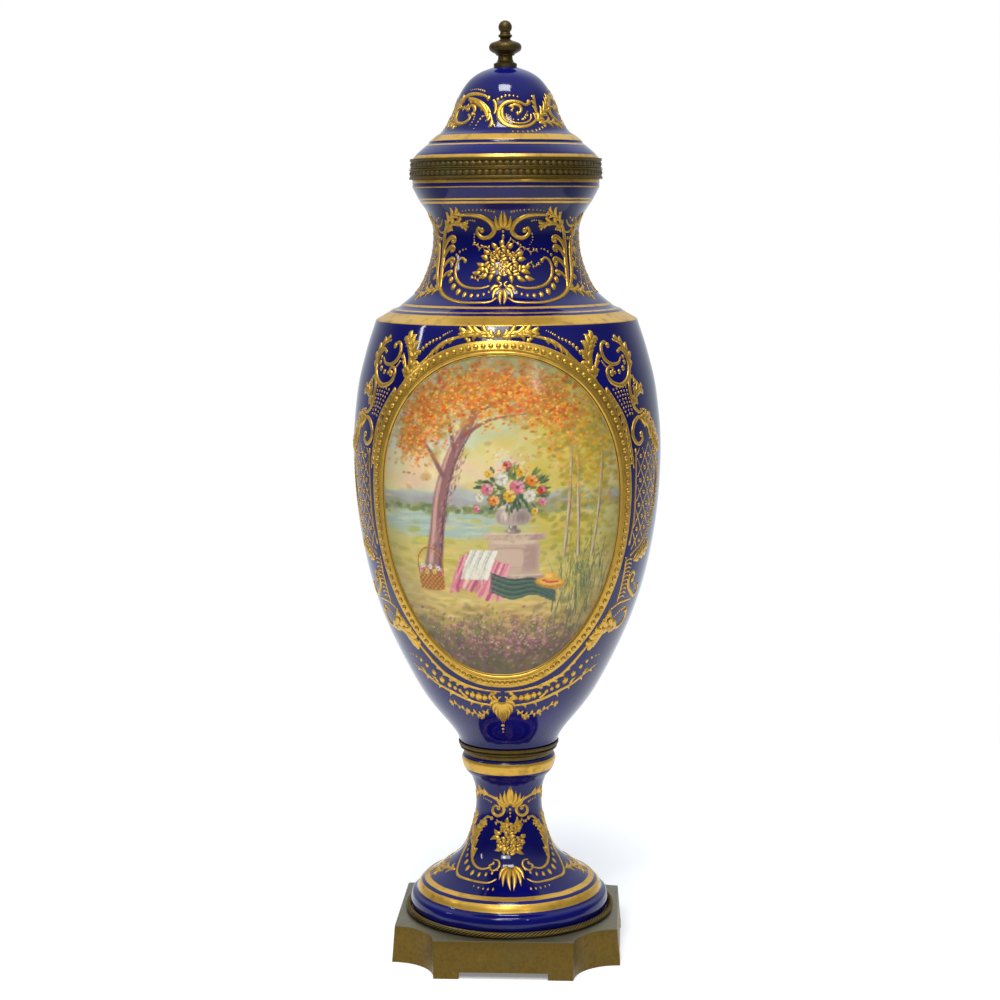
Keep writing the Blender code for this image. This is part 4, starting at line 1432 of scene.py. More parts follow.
def paint_basket(art):
    """A wicker basket of small flowers on the grass at the left."""
    art.dab(-70, -58, 15, 9.6, 0, (160, 112, 60), 1, 3.4, 0.1)
    for row in range(7):
        for stake in range(12):
            light = (row + stake) % 2
            colour = (206, 158, 86) if light else (128, 84, 46)
            art.dab(-83 + stake * 2.4, -65 + row * 2.3, 1.5, 0.9, 0, art.varied(colour, 10), 0.9)
    art.brush(((-84, -50), (-82, -34), (-70, -26), (-58, -34), (-56, -50)), (1.1, 1.2, 1.1),
              (150, 104, 56), 0.95)
    art.brush(((-84.6, -50), (-82.6, -34), (-70.4, -25.4), (-58, -33.4)), (0.4, 0.4), (220, 176, 104), 0.8)
    greens = ((92, 112, 72), (120, 132, 80))
    for _ in range(30):
        leaf = (-70 + art.dice.gauss(0, 7), -47 + art.dice.gauss(0, 3), art.dice.uniform(0, 180))
        art.leafage([leaf], 3, greens)
    for step in range(11):
        colour = ((222, 150, 160), (236, 226, 208), (206, 100, 96), (228, 190, 100))[step % 4]
        art.bloom(-81 + step * 2.2, -47 + 3 * math.sin(step * 1.7), 2.9, colour, (170, 90, 90))


# How much richer and deeper the colours fire than they are laid
RICHNESS = 1.3
DEEPENING = 1.12


def painted_garden(half_width, half_height):
    """The picture as linear colours, its lowest row first."""
    settings = bpy.context.scene.amphora_painting
    art = Painter(half_width, half_height, settings.density, settings.seed)
    paint_sky(art)
    paint_ground(art)
    paint_trees(art)
    paint_urn(art)
    for _ in range(2600):
        across = art.dice.uniform(-half_width, half_width)
        up = art.dice.uniform(-half_height, half_height)
        row = min(int((up + half_height) * art.density), len(art.up) - 1)
        column = min(int((across + half_width) * art.density), len(art.across) - 1)
        art.dab(across, up, art.dice.uniform(1.0, 2.6), 0.7, art.dice.uniform(0.0, 180.0),
                art.varied(art.canvas[row, column], 16.0), 0.4)
    shade = np.clip(np.hypot(art.across[None, :] / half_width, art.up[:, None] / half_height) - 0.75,
                    0.0, 0.4)
    picture = np.clip(art.canvas * (1.0 - shade[:, :, None] * 0.7) / 255.0, 0.0, 1.0)
    grey = picture.mean(axis=2, keepdims=True)
    picture = np.clip(grey + (picture - grey) * RICHNESS, 0.0, 1.0) ** DEEPENING
    return np.where(picture <= 0.04045, picture / 12.92, ((picture + 0.055) / 1.055) ** 2.4)


def picture_enamel():
    """Overglaze enamel: the painted colours under a glossy, slightly uneven surface."""
    finish = Finish("picture_enamel")
    colour = finish.carried("picture", "Color")
    grain = finish.noise(1300.0, 2.0)
    tone = finish.mix(grain * 0.12, colour, (0.30, 0.22, 0.14))
    ripple = finish.noise(60.0, 2.0) + grain * 0.15
    return finish.set(Base_Color=tone, Roughness=grain * 0.08 + 0.12, IOR=GLAZE_IOR,
                      Normal=finish.bump(ripple, 0.0004, 0.4))


class AMPHORA_OT_painting(bpy.types.Operator):
    """Paint the garden scene inside the oval"""

    bl_idname = "amphora.painting"
    bl_label = "Painted Panel"

    def execute(self, context):
        settings = context.scene.amphora_painting
        wall = body_wall()
        edge = oval(0.0, 0.93).x, oval(0.25, 0.93).y
        picture = painted_garden(*edge)
        bm = bmesh.new()
        bmesh.ops.create_grid(bm, x_segments=settings.columns, y_segments=settings.rows, size=1.0)
        paint = bm.verts.layers.float_color.new("picture")
        outside = [face for face in bm.faces if self.reach(face.calc_center_median()) > 1.0]
        bmesh.ops.delete(bm, geom=outside, context="FACES")
        for corner in bm.verts:
            row = min(int((corner.co.y + 1.0) / 2.0 * len(picture)), len(picture) - 1)
            column = min(int((corner.co.x + 1.0) / 2.0 * len(picture[0])), len(picture[0]) - 1)
            corner[paint] = (*picture[row, column], 1.0)
            corner.co = wall.spot(corner.co.x * edge[0], corner.co.y * edge[1], 0.22)
        item = finished("painted_panel", bm, picture_enamel(), "painting")
        if item.data.polygons[0].normal.y > 0.0:
            item.data.flip_normals()
        return {"FINISHED"}

    def reach(self, place):
        """1 on the edge of the oval, less inside it."""
        return abs(place.x) ** PANEL_FULLNESS + abs(place.y) ** PANEL_FULLNESS


class AMPHORA_OT_neck_gilding(bpy.types.Operator):
    """Lay the raised gilding on the neck: bouquets in scrollwork, acanthus and trellis"""

    bl_idname = "amphora.neck_gilding"
    bl_label = "Neck Gilding"

    def execute(self, context):
        front = Gilder(Wall(body_curves(), NECK_REFERENCE, NECK_MIDDLE))
        half_lap = math.pi * NECK_REFERENCE
        for axis in (1.2, 1.2 + half_lap):
            front.on(axis)
            self.middle(front)
            for side in (1, -1):
                front.on(axis, side)
                self.scrollwork(front)
                self.column(front)
        front.fire("neck_gilding")
        return {"FINISHED"}

    def middle(self, gild):
        """The bud, drops, bouquet and shell on the axis of the motif."""
        for side in (1, -1):
            gild.on(gild.axis, side)
            gild.fan(((0.5, 26), (1, 42), 4, -0.10), ((1.5, 26), (7.2, 38), 4, -0.18),
                     ((2.5, 25.5), (9.6, 32.5), 3.2, -0.25), ((0.8, -29), (1.2, -42.5), 3.8, 0.10),
                     ((2, -27.5), (7.5, -38), 3.6, 0.22), ((3, -26.5), (10.5, -31.5), 3.2, 0.28),
                     ((0.6, -24.6), (4.2, -21.8), 1.6), ((0.6, -24.6), (4.2, -27.4), 1.6))
        gild.on(gild.axis)
        gild.stroke(((0, 20.6), (0, 16.4)), (1.5, 2.7, 1.5), 4)
        gild.beads((((0, 23.4), 2.1), ((0, 12.6), 2), ((0, 9.9), 1.4)))
        for centre, radius in (((-1, 3.4), 6.6), ((-11.2, -9), 6.2), ((10.2, -10.6), 6.4), ((0.2, -13), 4.2),
                               ((0.8, -5.4), 3.8), ((-9.6, 1.4), 3.6), ((9.4, 0.6), 3.8)):
            gild.rose(centre, radius * 1.12)
        leaves = (((-15, -3), (-22.5, 1)), ((-17.5, -7), (-26, -5)), ((-17, -12), (-25, -12.6)),
                  ((-15, -14.6), (-22, -19.4)), ((-9, -16), (-11.5, -22.5)), ((-13, 3.4), (-19.5, 7.4)),
                  ((13, 2.6), (20.5, 5.4)), ((14.5, -3.4), (22.5, -2)), ((17, -9), (26.5, -8)),
                  ((16.4, -13.4), (25.4, -15.6)), ((13, -16.8), (20.6, -22)), ((6, -17), (7.6, -24)),
                  ((-2.6, -17.4), (-3.6, -23.6)), ((-6, 9), (-11, 13.6)), ((4.6, 9), (9.6, 13.4)),
                  ((-0.6, 10.6), (0.2, 16.6)), ((20, -17), (29, -20.6)), ((-21, -13.4), (-29.6, -13.8)))
        for index, (base, tip) in enumerate(leaves):
            gild.leaf(base, tip, 4.6, 0.14 if index % 2 else -0.14)
        gild.sprig(((-12, 5), (-18, 10), (-24, 8.5), (-30, 13)), 0.9, 6, 3.6)
        gild.sprig(((12, 4), (19, 9.5), (27, 5), (34, 6.5)), 0.9, 7, 3.6)
        gild.sprig(((20, -10), (26, -5.5), (31, -9), (35, -6)), 0.9, 5, 3)
        gild.sprig(((-18, -14), (-23, -20), (-29, -18)), 0.9, 4, 3)
        gild.sprig(((3, 10), (8, 16), (15, 12)), 0.8, 4, 2.8)

    def scrollwork(self, gild):
        """One side of the open scrolls round the bouquet."""
        gild.volute(((21.5, 24.6), (25.2, 26.8), (26.4, 22.4), (21.4, 17.8), (13.6, 18.6), (8.8, 24.4),
                     (11.8, 31.4), (20.6, 36.8), (31.4, 38.6), (44, 38.4)), (2, 2.8, 3.6, 4.2, 4, 2.4), 4.2)
        gild.dots(((8, 41.4), (16, 42.8), (28, 43.2), (39, 42.4)), 1.7, 1.1, 3.5)
        gild.dots(((28.4, 33.2), (33, 33.8), (38, 33.2)), 1.7, 0.9, 2.5)
        gild.dots(((29.6, 21), (30, 15.6), (27.2, 11.4)), 1.6, 0.8, 2.5)
        gild.volute(((38.6, -3.6), (42.6, -0.8), (47.2, -4), (48.4, -10.8), (45.6, -18.4), (38.8, -24.6),
                     (30, -27.8), (19.4, -28.2), (11, -26)), (1.8, 2.2, 2.8, 3, 2.4, 1.4), 3.4)
        beads = (((11.5, -31.4), 1.4), ((15.4, -33.4), 1.7), ((20, -34.6), 2.1), ((25.4, -34.8), 2.6),
                 ((31.6, -34), 3.2), ((38.4, -31.6), 3.8), ((45, -27.2), 4), ((50.2, -21), 3.8),
                 ((53.2, -14), 3.3), ((54, -7.6), 2.8), ((52.8, -2.4), 2.3), ((50.2, 1.8), 1.9),
                 ((46.6, 4.8), 1.6), ((42.8, 6.6), 1.3), ((39.4, 7.4), 1))
        gild.beads(beads, 1.3)
        gild.stroke(((4.4, -36.4), (9.2, -40), (20, -41), (32, -40.8), (44, -38), (54, -33.8), (60.6, -28.6)),
                    (1.6, 2.6, 3, 3.4, 4))
        gild.plume(((60, -29.4), (69, -30.4), (79, -32.4), (90, -38.6)), 2.2, 6, 6, (1, -1))

    def column(self, gild):
        """The tall acanthus leaf beside the medallion, its mate behind it, and the trellis beyond."""
        gild.stroke(((60, -29.6), (65.6, -15), (69, -1), (71, 12), (68.6, 24), (62, 31.6)),
                    (3, 4.4, 4.2, 3.6, 2.8))
        gild.plume(((67, 26), (60, 34), (51, 39), (43, 41.4)), 2.6, 7, 5.6)
        gild.plume(((65, 23), (56, 30.6), (46, 31.4), (36, 27.6)), 2.8, 7, 6)
        for base, tip, width in (((70.6, 6), (53.6, 17), 3.4), ((69.4, -4), (54.6, 8.6), 3.2),
                                 ((67, -14), (52.6, -2.6), 3), ((63.6, -24), (53, -14.6), 2.6)):
            gild.frond(base, tip, width, -1)
        gild.stroke(((61.4, -29.8), (72, -17), (77.6, -3), (80.6, 9), (85.6, 21), (95, 32), (108, 38.2)),
                    (3, 4, 3.8, 3, 1.6))
        gild.plume(((80.6, 9), (86.4, 21), (96, 31), (108, 37.6)), 2.6, 8, 6.4)
        for base, tip, width in (((77.6, -4), (90, 6.4), 3), ((73, -16), (85, -7), 2.8),
                                 ((66.6, -25), (76.6, -19), 2.4)):
            gild.frond(base, tip, width, 1)
        gild.stroke(((70, 34.6), (75, 29.6), (82, 28.2), (90, 30.4), (97, 35.4)), (0.9, 1.8, 2.2, 1.8, 0.9))
        gild.stroke(((66.6, 26.6), (72, 22.8), (79, 23), (85, 27)), (0.8, 1.6, 1.6, 0.8))
        gild.beads((((81, 34.2), 3), ((86.6, 35.6), 1.9), ((75.8, 36), 1.9), ((76.6, 16.8), 2.6)))
        quarter = math.pi / 2 * NECK_REFERENCE
        gild.diamonds(((80, 6), (84, -18), (76, -28), (92, -34), (quarter + 6, -34),
                       (quarter + 6, 16), (quarter - 12, 24), (90, 20)), 11.6, 15.6, 0.9, 2.4)


class AMPHORA_OT_lid_gilding(bpy.types.Operator):
    """Lay the raised gilding on the bell of the lid: three repeats of running acanthus scrolls"""

    bl_idname = "amphora.lid_gilding"
    bl_label = "Lid Gilding"

    def execute(self, context):
        gild = Gilder(Wall(lid_curve(), LID_REFERENCE, LID_MIDDLE))
        for repeat in range(3):
            gild.on(math.tau * LID_REFERENCE / 3 * repeat)
            self.right_scroll(gild)
            self.left_scroll(gild)
        gild.fire("lid_gilding")
        return {"FINISHED"}

    def right_scroll(self, gild):
        gild.volute(((29.2, 7), (25.2, 4.6), (18, 7), (9.6, 7.6), (2.2, 5.8), (-2.8, 1), (-3.8, -4.6),
                     (-1.2, -10), (4.4, -14), (12.6, -16), (21, -15.6), (27.6, -13.2), (34, -9)),
                    (2, 3, 4, 4.2, 3.6, 2.2), 4.2)
        gild.stroke(((0.6, 3.2), (-0.6, -2), (1, -8), (6, -12.2)), (1.6, 3.4, 3.2, 1.2))
        gild.stroke(((3.4, -3.4), (5.6, -8.6), (12.2, -12.2), (21, -12.2), (27.6, -8.8), (29.4, -3.6)),
                    (0.9, 1.4, 1.6, 1.6, 1.2))
        gild.volute(((15.6, -3.4), (19, -1.6), (19, 2.6), (14, 4.6), (7, 3.2)), (1.8, 2.8, 3, 2), 3.4)
        gild.volute(((9.4, -0.6), (11, 2), (6, 3.4)), (1.6, 2, 1.4), 2.4)
        gild.dots(((5.6, -5), (8.6, -8.6), (15, -9.4), (21, -8.4), (25.2, -5.2)), 1.1, 1.9, 3.8)
        gild.dots(((-5.4, 9.4), (1.6, 12.6), (9.2, 13.2), (17, 12)), 2.8, 1.4, 5)
        gild.dots(((9, -20.2), (20, -20.4), (31, -18.6), (41, -15)), 1.3, 2.2, 4)
        gild.dots(((20.4, -8.6), (23.4, -5), (26.2, -1.6)), 1.9, 1, 2.4)
        gild.plume(((33, -9.6), (36.4, -2), (37, 6), (38, 14)), 2, 6, 4.8, (1,), 48)
        gild.plume(((34.6, -10.6), (44, -3), (54, 4), (63, 14.4)), 2.6, 8, 6.4)
        gild.plume(((35.6, -12), (46, -11), (57, -11.4), (67, -15)), 2.4, 7, 5.2)

    def left_scroll(self, gild):
        gild.volute(((-16.4, 11), (-22.8, 13.6), (-34, 15.2), (-46.4, 14.2), (-54.2, 8.6), (-58.8, 0.6),
                     (-57.2, -6), (-49.2, -11.6), (-40, -11.8), (-34.4, -7.6), (-38, -3.2)),
                    (2, 3.2, 4.2, 4.2, 3.4, 1.8), 4)
        gild.plume(((-44, 11.6), (-34, 10.4), (-23.6, 7), (-14.6, 0.2), (-10.2, -8.8), (-6, -16.4)), 2.3, 10,
                   6.2, (-1,), 55)
        gild.plume(((-52, 4), (-46.4, 2), (-42, 3.6), (-38.4, 1)), 1.6, 4, 3.6)
        gild.stroke(((-44, 10.4), (-34, 9), (-25, 5.4), (-17.4, -1.6), (-13.4, -9.6)),
                    (1.6, 4.6, 5.4, 3.6, 1.4))
        gild.volute(((-32.6, -3.6), (-30.8, 0.6), (-35, 4.6), (-42, 2.8)), (2, 3.2, 3, 1.4), 3.2)
        gild.stroke(((-10.6, 9.4), (-7.6, 5.6), (-7, 0.6), (-8.4, -4)), (2, 2.8, 2.6, 1.2))
        gild.dots(((-46, 19.4), (-34, 19.6), (-23, 17.6)), 1, 1.8, 3.2)
        gild.dots(((-20, -6), (-23.4, -11), (-25.4, -17)), 2, 1, 2.8)
        gild.dots(((-30.4, -1.4), (-29, -7.4), (-31, -13.6)), 1.8, 1, 2.8)


class AMPHORA_OT_body_gilding(bpy.types.Operator):
    """Lay the raised gilding on the belly: scrolls, acanthus, trellis and garlands round the oval"""

    bl_idname = "amphora.body_gilding"
    bl_label = "Body Gilding"

    def execute(self, context):
        wall = body_wall()
        crest = Gilder(wall, 1.4)
        sides = Gilder(wall, 1.5)
        for side in (1, -1):
            self.crest(crest.on(0, side))
            self.skirt(crest)
            self.flank(sides.on(0, side))
            self.lower_flank(sides)
        self.tassel(crest.on(-1.5))
        crest.fire("body_gilding_middle")
        sides.fire("body_gilding_flanks")
        back = Gilder(wall, 1.6)
        for side in (1, -1):
            self.back_spray(back.on(math.pi * BODY_REFERENCE, side))
        back.fire("body_gilding_back")
        return {"FINISHED"}

    def crest(self, gild):
        """The bud and the long acanthus sprays over the oval."""
        gild.stroke(((0, 165.4), (0.6, 168.6), (0, 172.6)), (2, 4.2, 1.4), 4)
        gild.volute(((30.6, 162.6), (34.4, 165.8), (29, 168), (20, 167.4), (10.6, 166.2), (4, 164.4)),
                    (2, 2.6, 2.2, 1.4), 3.4)
        gild.plume(((4, 165.2), (12, 169.6), (22, 170), (33, 171.4), (43, 168.4)), 2.8, 8, 6.4)
        gild.stroke(((31, 167.6), (46.4, 164.8), (63.4, 156.6), (77.2, 144), (92, 133.2), (99, 124.6)),
                    (1.6, 2.4, 2.8, 3, 2.2))
        gild.plume(((46, 165.4), (56, 162.4), (66, 156), (75, 147.6)), 1.8, 6, 5.4, (-1,))
        gild.plume(((98, 128), (93.6, 138), (93.8, 149), (98, 158.4), (105.4, 166)), 3.2, 9, 8.4)
        gild.plume(((99.4, 129.6), (101.4, 140), (106.4, 150)), 2.4, 5, 5, (-1,))
        gild.dots(((63, 164.8), (72, 161.4), (80.4, 156), (88.4, 147.6)), 1.8, 3.4, 4.2)
        gild.dots(((50.4, 171.4), (55, 169.4), (59.4, 167.2)), 1, 1.6, 2.6)

    def flank(self, gild):
        """The scrolls and the trellis down the upper side of the oval."""
        gild.volute(((119.6, 131), (122.8, 134.4), (118.8, 137), (113.8, 133.4), (115, 126.4), (120.6, 121.6),
                     (131, 119.8), (141.6, 124.6), (148.8, 134.4), (148.4, 146), (141.6, 152.4),
                     (134, 149.6)),
                    (1.6, 2.2, 3, 3.6, 3.4, 2.2), 4)
        gild.volute(((121.6, 156.4), (118, 159.4), (113.6, 157.6), (111.2, 151), (114.2, 143.8),
                     (122.2, 139.2), (132.4, 139.8), (138.4, 145)), (1.6, 2.6, 3, 2.4, 1.4), 3.6)
        gild.plume(((150, 134), (152, 142), (149, 151), (141, 158), (131, 161)), 2.2, 8, 6.2, (-1,))
        gild.beads((((142.2, 145), 2.4), ((142.4, 140), 3), ((138, 134.8), 3.4), ((131, 132), 3),
                    ((124.6, 131.4), 2.2)))
        gild.dots(((109.6, 142.4), (112.4, 138.4), (116.8, 135.4)), 1.3, 1.3, 2)
        for row in range(8):
            start = point(118.6 + row * 2.3, 116.2 - row * 3.5)
            end = point(137 + row * 0.85, 118 - row * 3.6)
            gild.dots((start, (start + end) / 2 + point(0, 0.6), end), 1.5, 1.5, 4.4)
        gild.volute(((153.4, 122), (150.8, 126.6), (145.6, 124.6), (142.8, 117), (143.8, 106.6), (147.4, 98),
                     (155.8, 92.8), (164, 95.4)), (1.8, 2.6, 3, 2.6, 1.4), 3.6)
        gild.plume(((146, 100), (150.4, 108.4), (157, 113), (165, 114)), 2.6, 6, 6.6, (1, -1))
        gild.dots(((151, 119), (149.6, 111), (152.6, 102)), 1.4, 2.4, 4)
        gild.plume(((109, 118.4), (117.4, 107.4), (127.8, 92.4), (134.2, 75.6), (137.8, 59.4), (141.8, 42)),
                   2.4, 17, 6.4, (-1,), 44)
        gild.volute(((155.2, 72.6), (157.6, 68.2), (151.2, 63.8), (143.8, 67.2), (140.4, 75.2), (144.6, 84.4),
                     (152, 88.6), (160, 87.6)), (1.8, 2.6, 3.2, 3.2, 2), 4)
        gild.plume(((156, 88.4), (166.4, 85.4), (177, 76), (187, 66), (196, 58.6)), 3.6, 9, 9.6)
        gild.dots(((158, 95.8), (168, 94), (178, 86.6), (187, 77.6)), 1.4, 2.6, 4.4)
        gild.stroke(((144.6, 60), (145.4, 40), (146.2, 15), (146.6, -8), (143.6, -31)), (1.6, 1.8, 1.6), 4)
        gild.stroke(((186, 56), (193, 38), (192.4, 20), (187.4, -1), (172.4, -26.6), (148.8, -41.6)),
                    (1.8, 2.4, 2.4, 1.6), 5)
        gild.dots(((197.6, 44), (198, 20), (192, -4), (177, -30), (160, -42)), 1.8, 1.8, 4.6)
        gild.diamonds(((146.6, 60), (154, 60.4), (166, 66), (184, 57), (191, 38), (190.4, 20),
                       (185.6, 0), (171, -25), (149, -39.6), (146, -30), (148.2, 0), (147.4, 30)),
                      15.4, 23, 0.9, 2.8)

    def lower_flank(self, gild):
        """The ladder, the scrolls and the plume down the lower side of the oval."""
        for step in range(10):
            height = -46 - step * 4
            gild.stroke(((143.6, height), (149.6, height + 1.4), (155, height - 0.6)), (1, 1.5, 0.8), 3)
        gild.stroke(((142.6, -42), (143.6, -62), (142.6, -86)), (1.6, 1.8, 1.2), 4)
        gild.volute(((164, -66.6), (166.6, -62), (160, -58.6), (155.2, -64.4), (158.4, -73.4), (168, -80),
                     (179.6, -84.6), (187, -79.6), (184.4, -73)), (1.8, 2.6, 3.2, 2.8, 1.6), 4)
        gild.plume(((157.6, -47), (168, -43.4), (178, -40), (187, -34)), 3, 7, 7.4)
        gild.dots(((170.6, -70.8), (176, -75.6), (181.4, -77.6)), 2.2, 1.2, 3)
        gild.volute(((168.8, -97.6), (172.6, -100.4), (172.8, -107.6), (165, -112.6), (155.6, -112.6),
                     (145, -106), (137, -98.6), (133.2, -91.6)), (1.8, 2.6, 3, 2.6, 1.8), 3.8)
        gild.stroke(((134.6, -92), (146, -87.4), (160, -86.6), (174, -87)), (1.4, 2.2, 2.2, 1.2))
        gild.plume(((155.6, -112.6), (144, -109.6), (132, -111), (122, -118.4), (113, -127.4)), 3.4, 10, 9.4)
        gild.plume(((134, -92), (128.6, -101), (121, -109), (111, -118)), 2.6, 8, 6.8, (1,))
        gild.dots(((163, -93.4), (155.6, -95.4), (148.6, -98.6), (143, -103)), 2.4, 1.2, 3.4)

    def skirt(self, gild):
        """The border, the beads and the garland under the oval."""
        gild.stroke(((3, -168.4), (26, -167.2), (50, -163.8), (68, -158.8), (83, -152.8), (96, -142),
                     (106, -131.6), (113, -124.4)), (1.2, 2.2, 2.8, 3, 2.4))
        gild.plume(((50, -165), (66, -161), (80, -155), (92, -146), (102, -136.4)), 1.8, 9, 5,
                   (-1,), 40)
        beads = (((6, -174.4), 1.6), ((12.6, -175), 2.4), ((19.8, -175.4), 3.4), ((28, -175.4), 4.8),
                 ((37.4, -174.6), 6.2), ((47, -173), 5), ((55.4, -171.6), 3.6), ((74, -167.6), 3.2),
                 ((82.6, -165), 4), ((93, -160.4), 5.2), ((103.8, -154), 4.4), ((113, -147.4), 3.6),
                 ((121.4, -142.8), 3), ((129, -140), 2.4), ((136, -138.8), 1.8), ((142.4, -138.6), 1.4))
        gild.beads(beads)
        gild.volute(((66.6, -169.6), (63.6, -172.8), (58.6, -176.4), (68.4, -176.4), (80, -173.2)),
                    (1.6, 2.4, 2.6, 1), 3)
        gild.stroke(((6.4, -181.2), (20, -183.4), (46.6, -181), (68.6, -176.4), (91, -170), (111.2, -164),
                     (127, -156.2), (147.4, -148.4)), (1.2, 2.2, 2.6, 2.4, 1.2))
        for base, tip in (((30, -183), (38, -187.6)), ((46, -181.4), (55.4, -185.6)),
                          ((80, -174), (90, -178)), ((98, -168.6), (107.4, -171)),
                          ((118, -161), (127, -163.6)), ((132, -154.6), (142, -156.6)),
                          ((104, -166), (112, -158)), ((124, -158), (131.6, -150))):
            gild.leaf(base, tip, 2.4, 0.2)
        gild.volute(((11.6, -169.6), (14.6, -173.4), (9, -177), (3, -173.4)), (1.4, 2, 1.2), 2.6)

    def tassel(self, gild):
        """The hanging palmette on the axis and the flower sprays beside it."""
        axis = gild.axis
        for side in (1, -1):
            gild.on(axis, side)
            gild.fan(((1, -180), (1.6, -204), 6.4, 0.06), ((3, -180), (8.4, -199.6), 5.8, 0.12),
                     ((5, -180), (15.4, -193.6), 5.2, 0.16), ((6, -179), (21, -187), 4.4, 0.20))
            gild.volute(((14.4, -170.4), (19, -173.8), (14, -178), (6, -177.4)), (1.6, 2.6, 1.8), 3.2)
            gild.sprig(((24, -188), (32, -193), (42, -195.4), (54, -193.6), (66, -193.4), (78, -187.6),
                        (92, -184.6)), 1.1, 13, 5.6)
            for centre in ((41, -197.4), (64, -192), (92.6, -184.8)):
                gild.rose(centre, 3.2)
        gild.on(axis)
        gild.beads((((-1.6, -207), 2.6), ((-2, -211.4), 2), ((-2.2, -215), 1.4)))

    def back_spray(self, gild):
        """The plainer ornament on the back of the belly: a wreath of sprigs and scrolls."""
        gild.sprig(((10, 126), (30, 132), (52, 118), (72, 96), (84, 66), (90, 34), (91.5, 14)), 1.4, 22, 9)
        gild.sprig(((10, -106), (30, -112), (52, -98), (72, -76), (84, -46), (90, -14),
                    (91.5, 6)), 1.4, 22, 9)
        gild.rose((92, 10), 6.4)
        gild.volute(((18, 104), (22, 108), (28, 102), (22, 94), (10, 96), (3, 108), (3, 122)),
                    (1.8, 2.8, 3, 1.8), 3.8)
        gild.plume(((2, 122), (3, 134), (2, 146)), 3, 6, 6, (-1,))
        gild.volute(((18, -84), (22, -88), (28, -82), (22, -74), (10, -76), (3, -88), (3, -102)),
                    (1.8, 2.8, 3, 1.8), 3.8)
        gild.plume(((2, -102), (3, -114), (2, -126)), 3, 6, 6, (1,))
        middle = point(0, -8)
        gild.rose(middle, 12)
        for turn in range(6):
            angle = math.radians(15 + turn * 30 - 90)
            out = heading(angle)
            gild.leaf(middle + out * 11, middle + out * 24, 5, 0.15)
        ring = []
        for turn in range(7):
            angle = math.radians(90 - turn * 30)
            ring.append(middle + heading(angle) * 34)
        gild.dots(ring, 2.2, 2.2, 6)


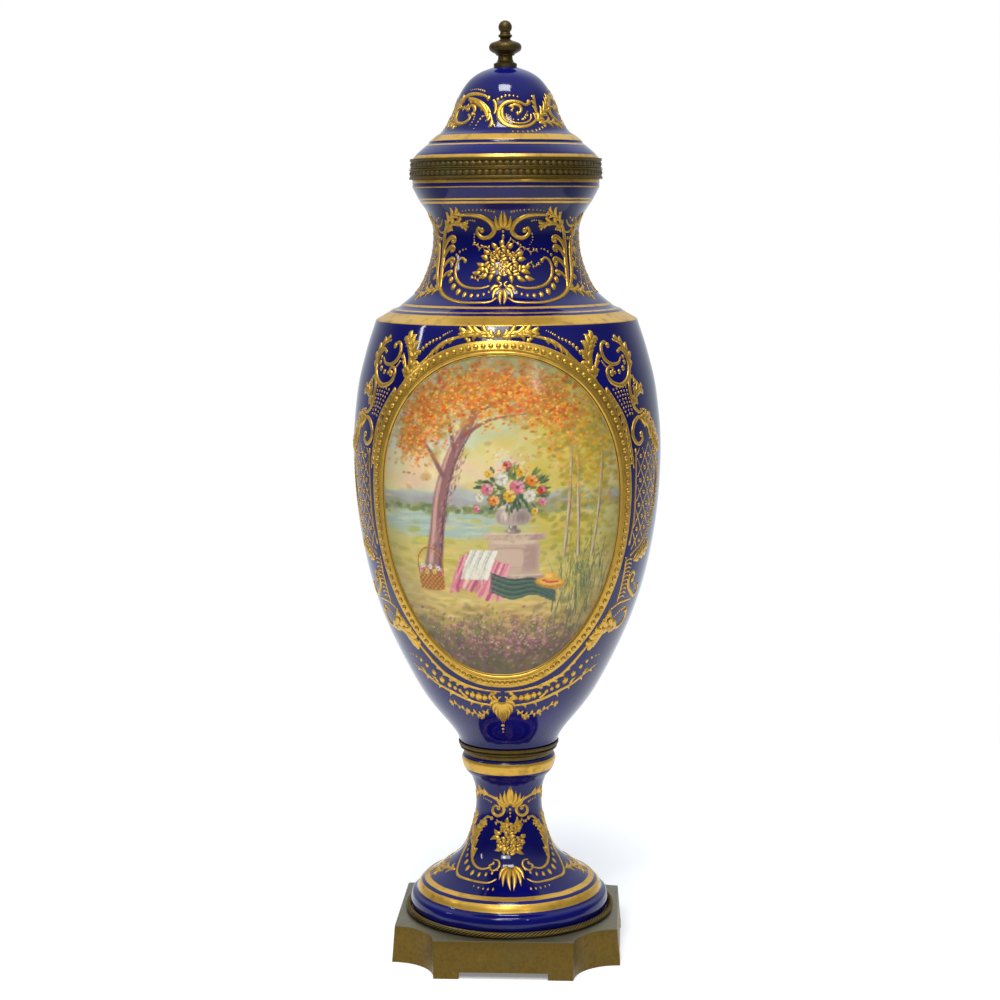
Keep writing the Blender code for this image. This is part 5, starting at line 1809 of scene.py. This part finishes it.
class AMPHORA_OT_foot_gilding(bpy.types.Operator):
    """Lay the raised gilding on the foot: a bouquet in scrollwork, front and back"""

    bl_idname = "amphora.foot_gilding"
    bl_label = "Foot Gilding"

    def execute(self, context):
        gild = Gilder(Wall(foot_curve(), FOOT_REFERENCE, FOOT_MIDDLE))
        for axis in (3.8, 3.8 + math.pi * FOOT_REFERENCE):
            for side in (1, -1):
                self.half(gild.on(axis, side))
            self.bouquet(gild.on(axis))
        gild.fire("foot_gilding")
        return {"FINISHED"}

    def half(self, gild):
        """One side of the palmettes, the scrolls and the acanthus round the bouquet."""
        gild.fan(((0.4, 28), (0.8, 47.6), 4.2, -0.06), ((1.4, 28), (6.6, 43), 4.4, -0.14),
                 ((2, 27.6), (12.4, 40.6), 4.4, -0.18), ((2.4, 27), (17.4, 37.4), 3.8, -0.22))
        gild.volute(((14.2, 25), (17.6, 27.2), (21.6, 24.4), (20.8, 19.6), (15, 17.4), (9.4, 20), (7.8, 26),
                     (13.4, 32), (26, 36.6), (38, 37.4), (48, 36.6)), (1.6, 2.4, 3, 3, 2.4, 1.6), 3.6)
        gild.plume(((28, 37.6), (38, 39), (50, 36), (60, 30)), 2.2, 6, 5.4)
        gild.dots(((24, 30.4), (30, 32), (36, 32.4)), 1.8, 1, 3)
        gild.volute(((22.8, 14.2), (28.4, 15.2), (35.4, 10.4), (41.6, 4), (45.4, -4), (43.4, -15),
                     (37.4, -24), (30.4, -29.4), (22.6, -31.4), (15.4, -29)), (1.6, 2.6, 3.2, 2.6, 1.4), 3.2)
        gild.plume(((36, -24), (40.4, -14), (41, -4), (37, 5), (29, 11.4)), 2.4, 9, 5.6, (1, -1))
        gild.plume(((46, -14), (50.4, -4), (52, 8), (48, 18)), 2.4, 7, 5.6, (-1, 1))
        beads = (((10.4, -30.6), 1.6), ((13.6, -33.2), 2), ((17.6, -34.8), 2.4), ((22.4, -35.6), 2.8),
                 ((28, -35.2), 3.4), ((34.2, -33), 3.6), ((39.8, -29.4), 3.4), ((44.4, -25), 2.8),
                 ((47.8, -20.6), 2.2), ((50.2, -16.6), 1.7))
        gild.beads(beads)
        gild.stroke(((9.6, -37.2), (14, -40.2), (21, -40.6), (29, -40.2), (38, -39.2), (45.6, -33),
                     (53.6, -24), (58, -12), (58.6, -1)), (1.4, 2, 2.4, 2.4, 1.8))
        gild.plume(((44, -37), (53, -38.6), (62, -42), (70, -47)), 2.2, 6, 5.2)
        gild.plume(((57, -14), (62, -6), (64, 4), (61, 12)), 2.2, 6, 5, (-1, 1))
        gild.fan(((0.6, -29), (0.8, -45.4), 4.2, 0.08), ((1.6, -28.6), (5.2, -42.6), 4, 0.14),
                 ((2.4, -28), (8, -38), 3.6, 0.20))
        gild.volute(((14.6, -26), (17.4, -28.6), (13.6, -31.6), (9.4, -28.4), (10.6, -23.8), (15, -23)),
                    (1.2, 1.8, 2, 1.2), 2.4)
        gild.dots(((10.4, -44.4), (16, -44.6), (22, -43.8)), 1.7, 1, 2.6)

    def bouquet(self, gild):
        """The drop of beads, and roses among leaves on the axis of the motif."""
        gild.beads((((0, 24), 2), ((0, 20.4), 1.8), ((0, 17.2), 1.4)))
        for centre, radius in (((0, 3.4), 6.6), ((-8.4, -8.6), 5.6), ((7.2, -8.4), 5.6), ((-8, 5.4), 3.4),
                               ((8.4, 5.6), 3.4), ((0, -14.6), 4.2), ((0.2, -5.4), 3.6)):
            gild.rose(centre, radius * 1.1)
        for turn, reach in enumerate((17, 20, 22, 20, 18, 20, 22, 20, 17, 16, 20, 16)):
            angle = math.radians(30 * turn + 8)
            base = point(math.cos(angle) * 11, -3 + math.sin(angle) * 11)
            tip = point(math.cos(angle) * reach, -3 + math.sin(angle) * reach)
            gild.leaf(base, tip, 4.4, 0.2 if turn % 2 else -0.2)
        gild.sprig(((-9, 8), (-13, 12), (-17, 10.6)), 0.9, 4, 3)
        gild.sprig(((9, 9), (14, 13), (19, 11.6)), 0.9, 4, 3)


PIECES = (
    AMPHORA_OT_body,
    AMPHORA_OT_foot,
    AMPHORA_OT_lid,
    AMPHORA_OT_plinth,
    AMPHORA_OT_rope_ring,
    AMPHORA_OT_collar,
    AMPHORA_OT_bands,
    AMPHORA_OT_finial,
    AMPHORA_OT_oval_frame,
    AMPHORA_OT_painting,
    AMPHORA_OT_neck_gilding,
    AMPHORA_OT_lid_gilding,
    AMPHORA_OT_body_gilding,
    AMPHORA_OT_foot_gilding,
    AMPHORA_OT_studio,
)


class AMPHORA_PT_panel(bpy.types.Panel):
    """Sizes, finishes and the pieces of the vase"""

    bl_idname = "AMPHORA_PT_panel"
    bl_label = "Amphora Vase"
    bl_space_type = "VIEW_3D"
    bl_region_type = "UI"
    bl_category = "Amphora Vase"

    def draw(self, context):
        layout = self.layout
        for group in (context.scene.amphora_turning, context.scene.amphora_finish,
                      context.scene.amphora_painting):
            box = layout.box()
            for name in group.__annotations__:
                box.prop(group, name)
        for piece in PIECES:
            layout.operator(piece.bl_idname)


SETTINGS = (
    ("amphora_turning", TurningSettings),
    ("amphora_finish", FinishSettings),
    ("amphora_painting", PaintingSettings),
)


def register():
    for name, group in SETTINGS:
        bpy.utils.register_class(group)
        setattr(bpy.types.Scene, name, bpy.props.PointerProperty(type=group))
    for piece in PIECES:
        bpy.utils.register_class(piece)
    bpy.utils.register_class(AMPHORA_PT_panel)


def unregister():
    bpy.utils.unregister_class(AMPHORA_PT_panel)
    for piece in reversed(PIECES):
        bpy.utils.unregister_class(piece)
    for name, group in reversed(SETTINGS):
        delattr(bpy.types.Scene, name)
        bpy.utils.unregister_class(group)


def main():
    register()
    for piece in PIECES:
        group, name = piece.bl_idname.split(".")
        getattr(getattr(bpy.ops, group), name)()


if __name__ == "__main__":
    main()
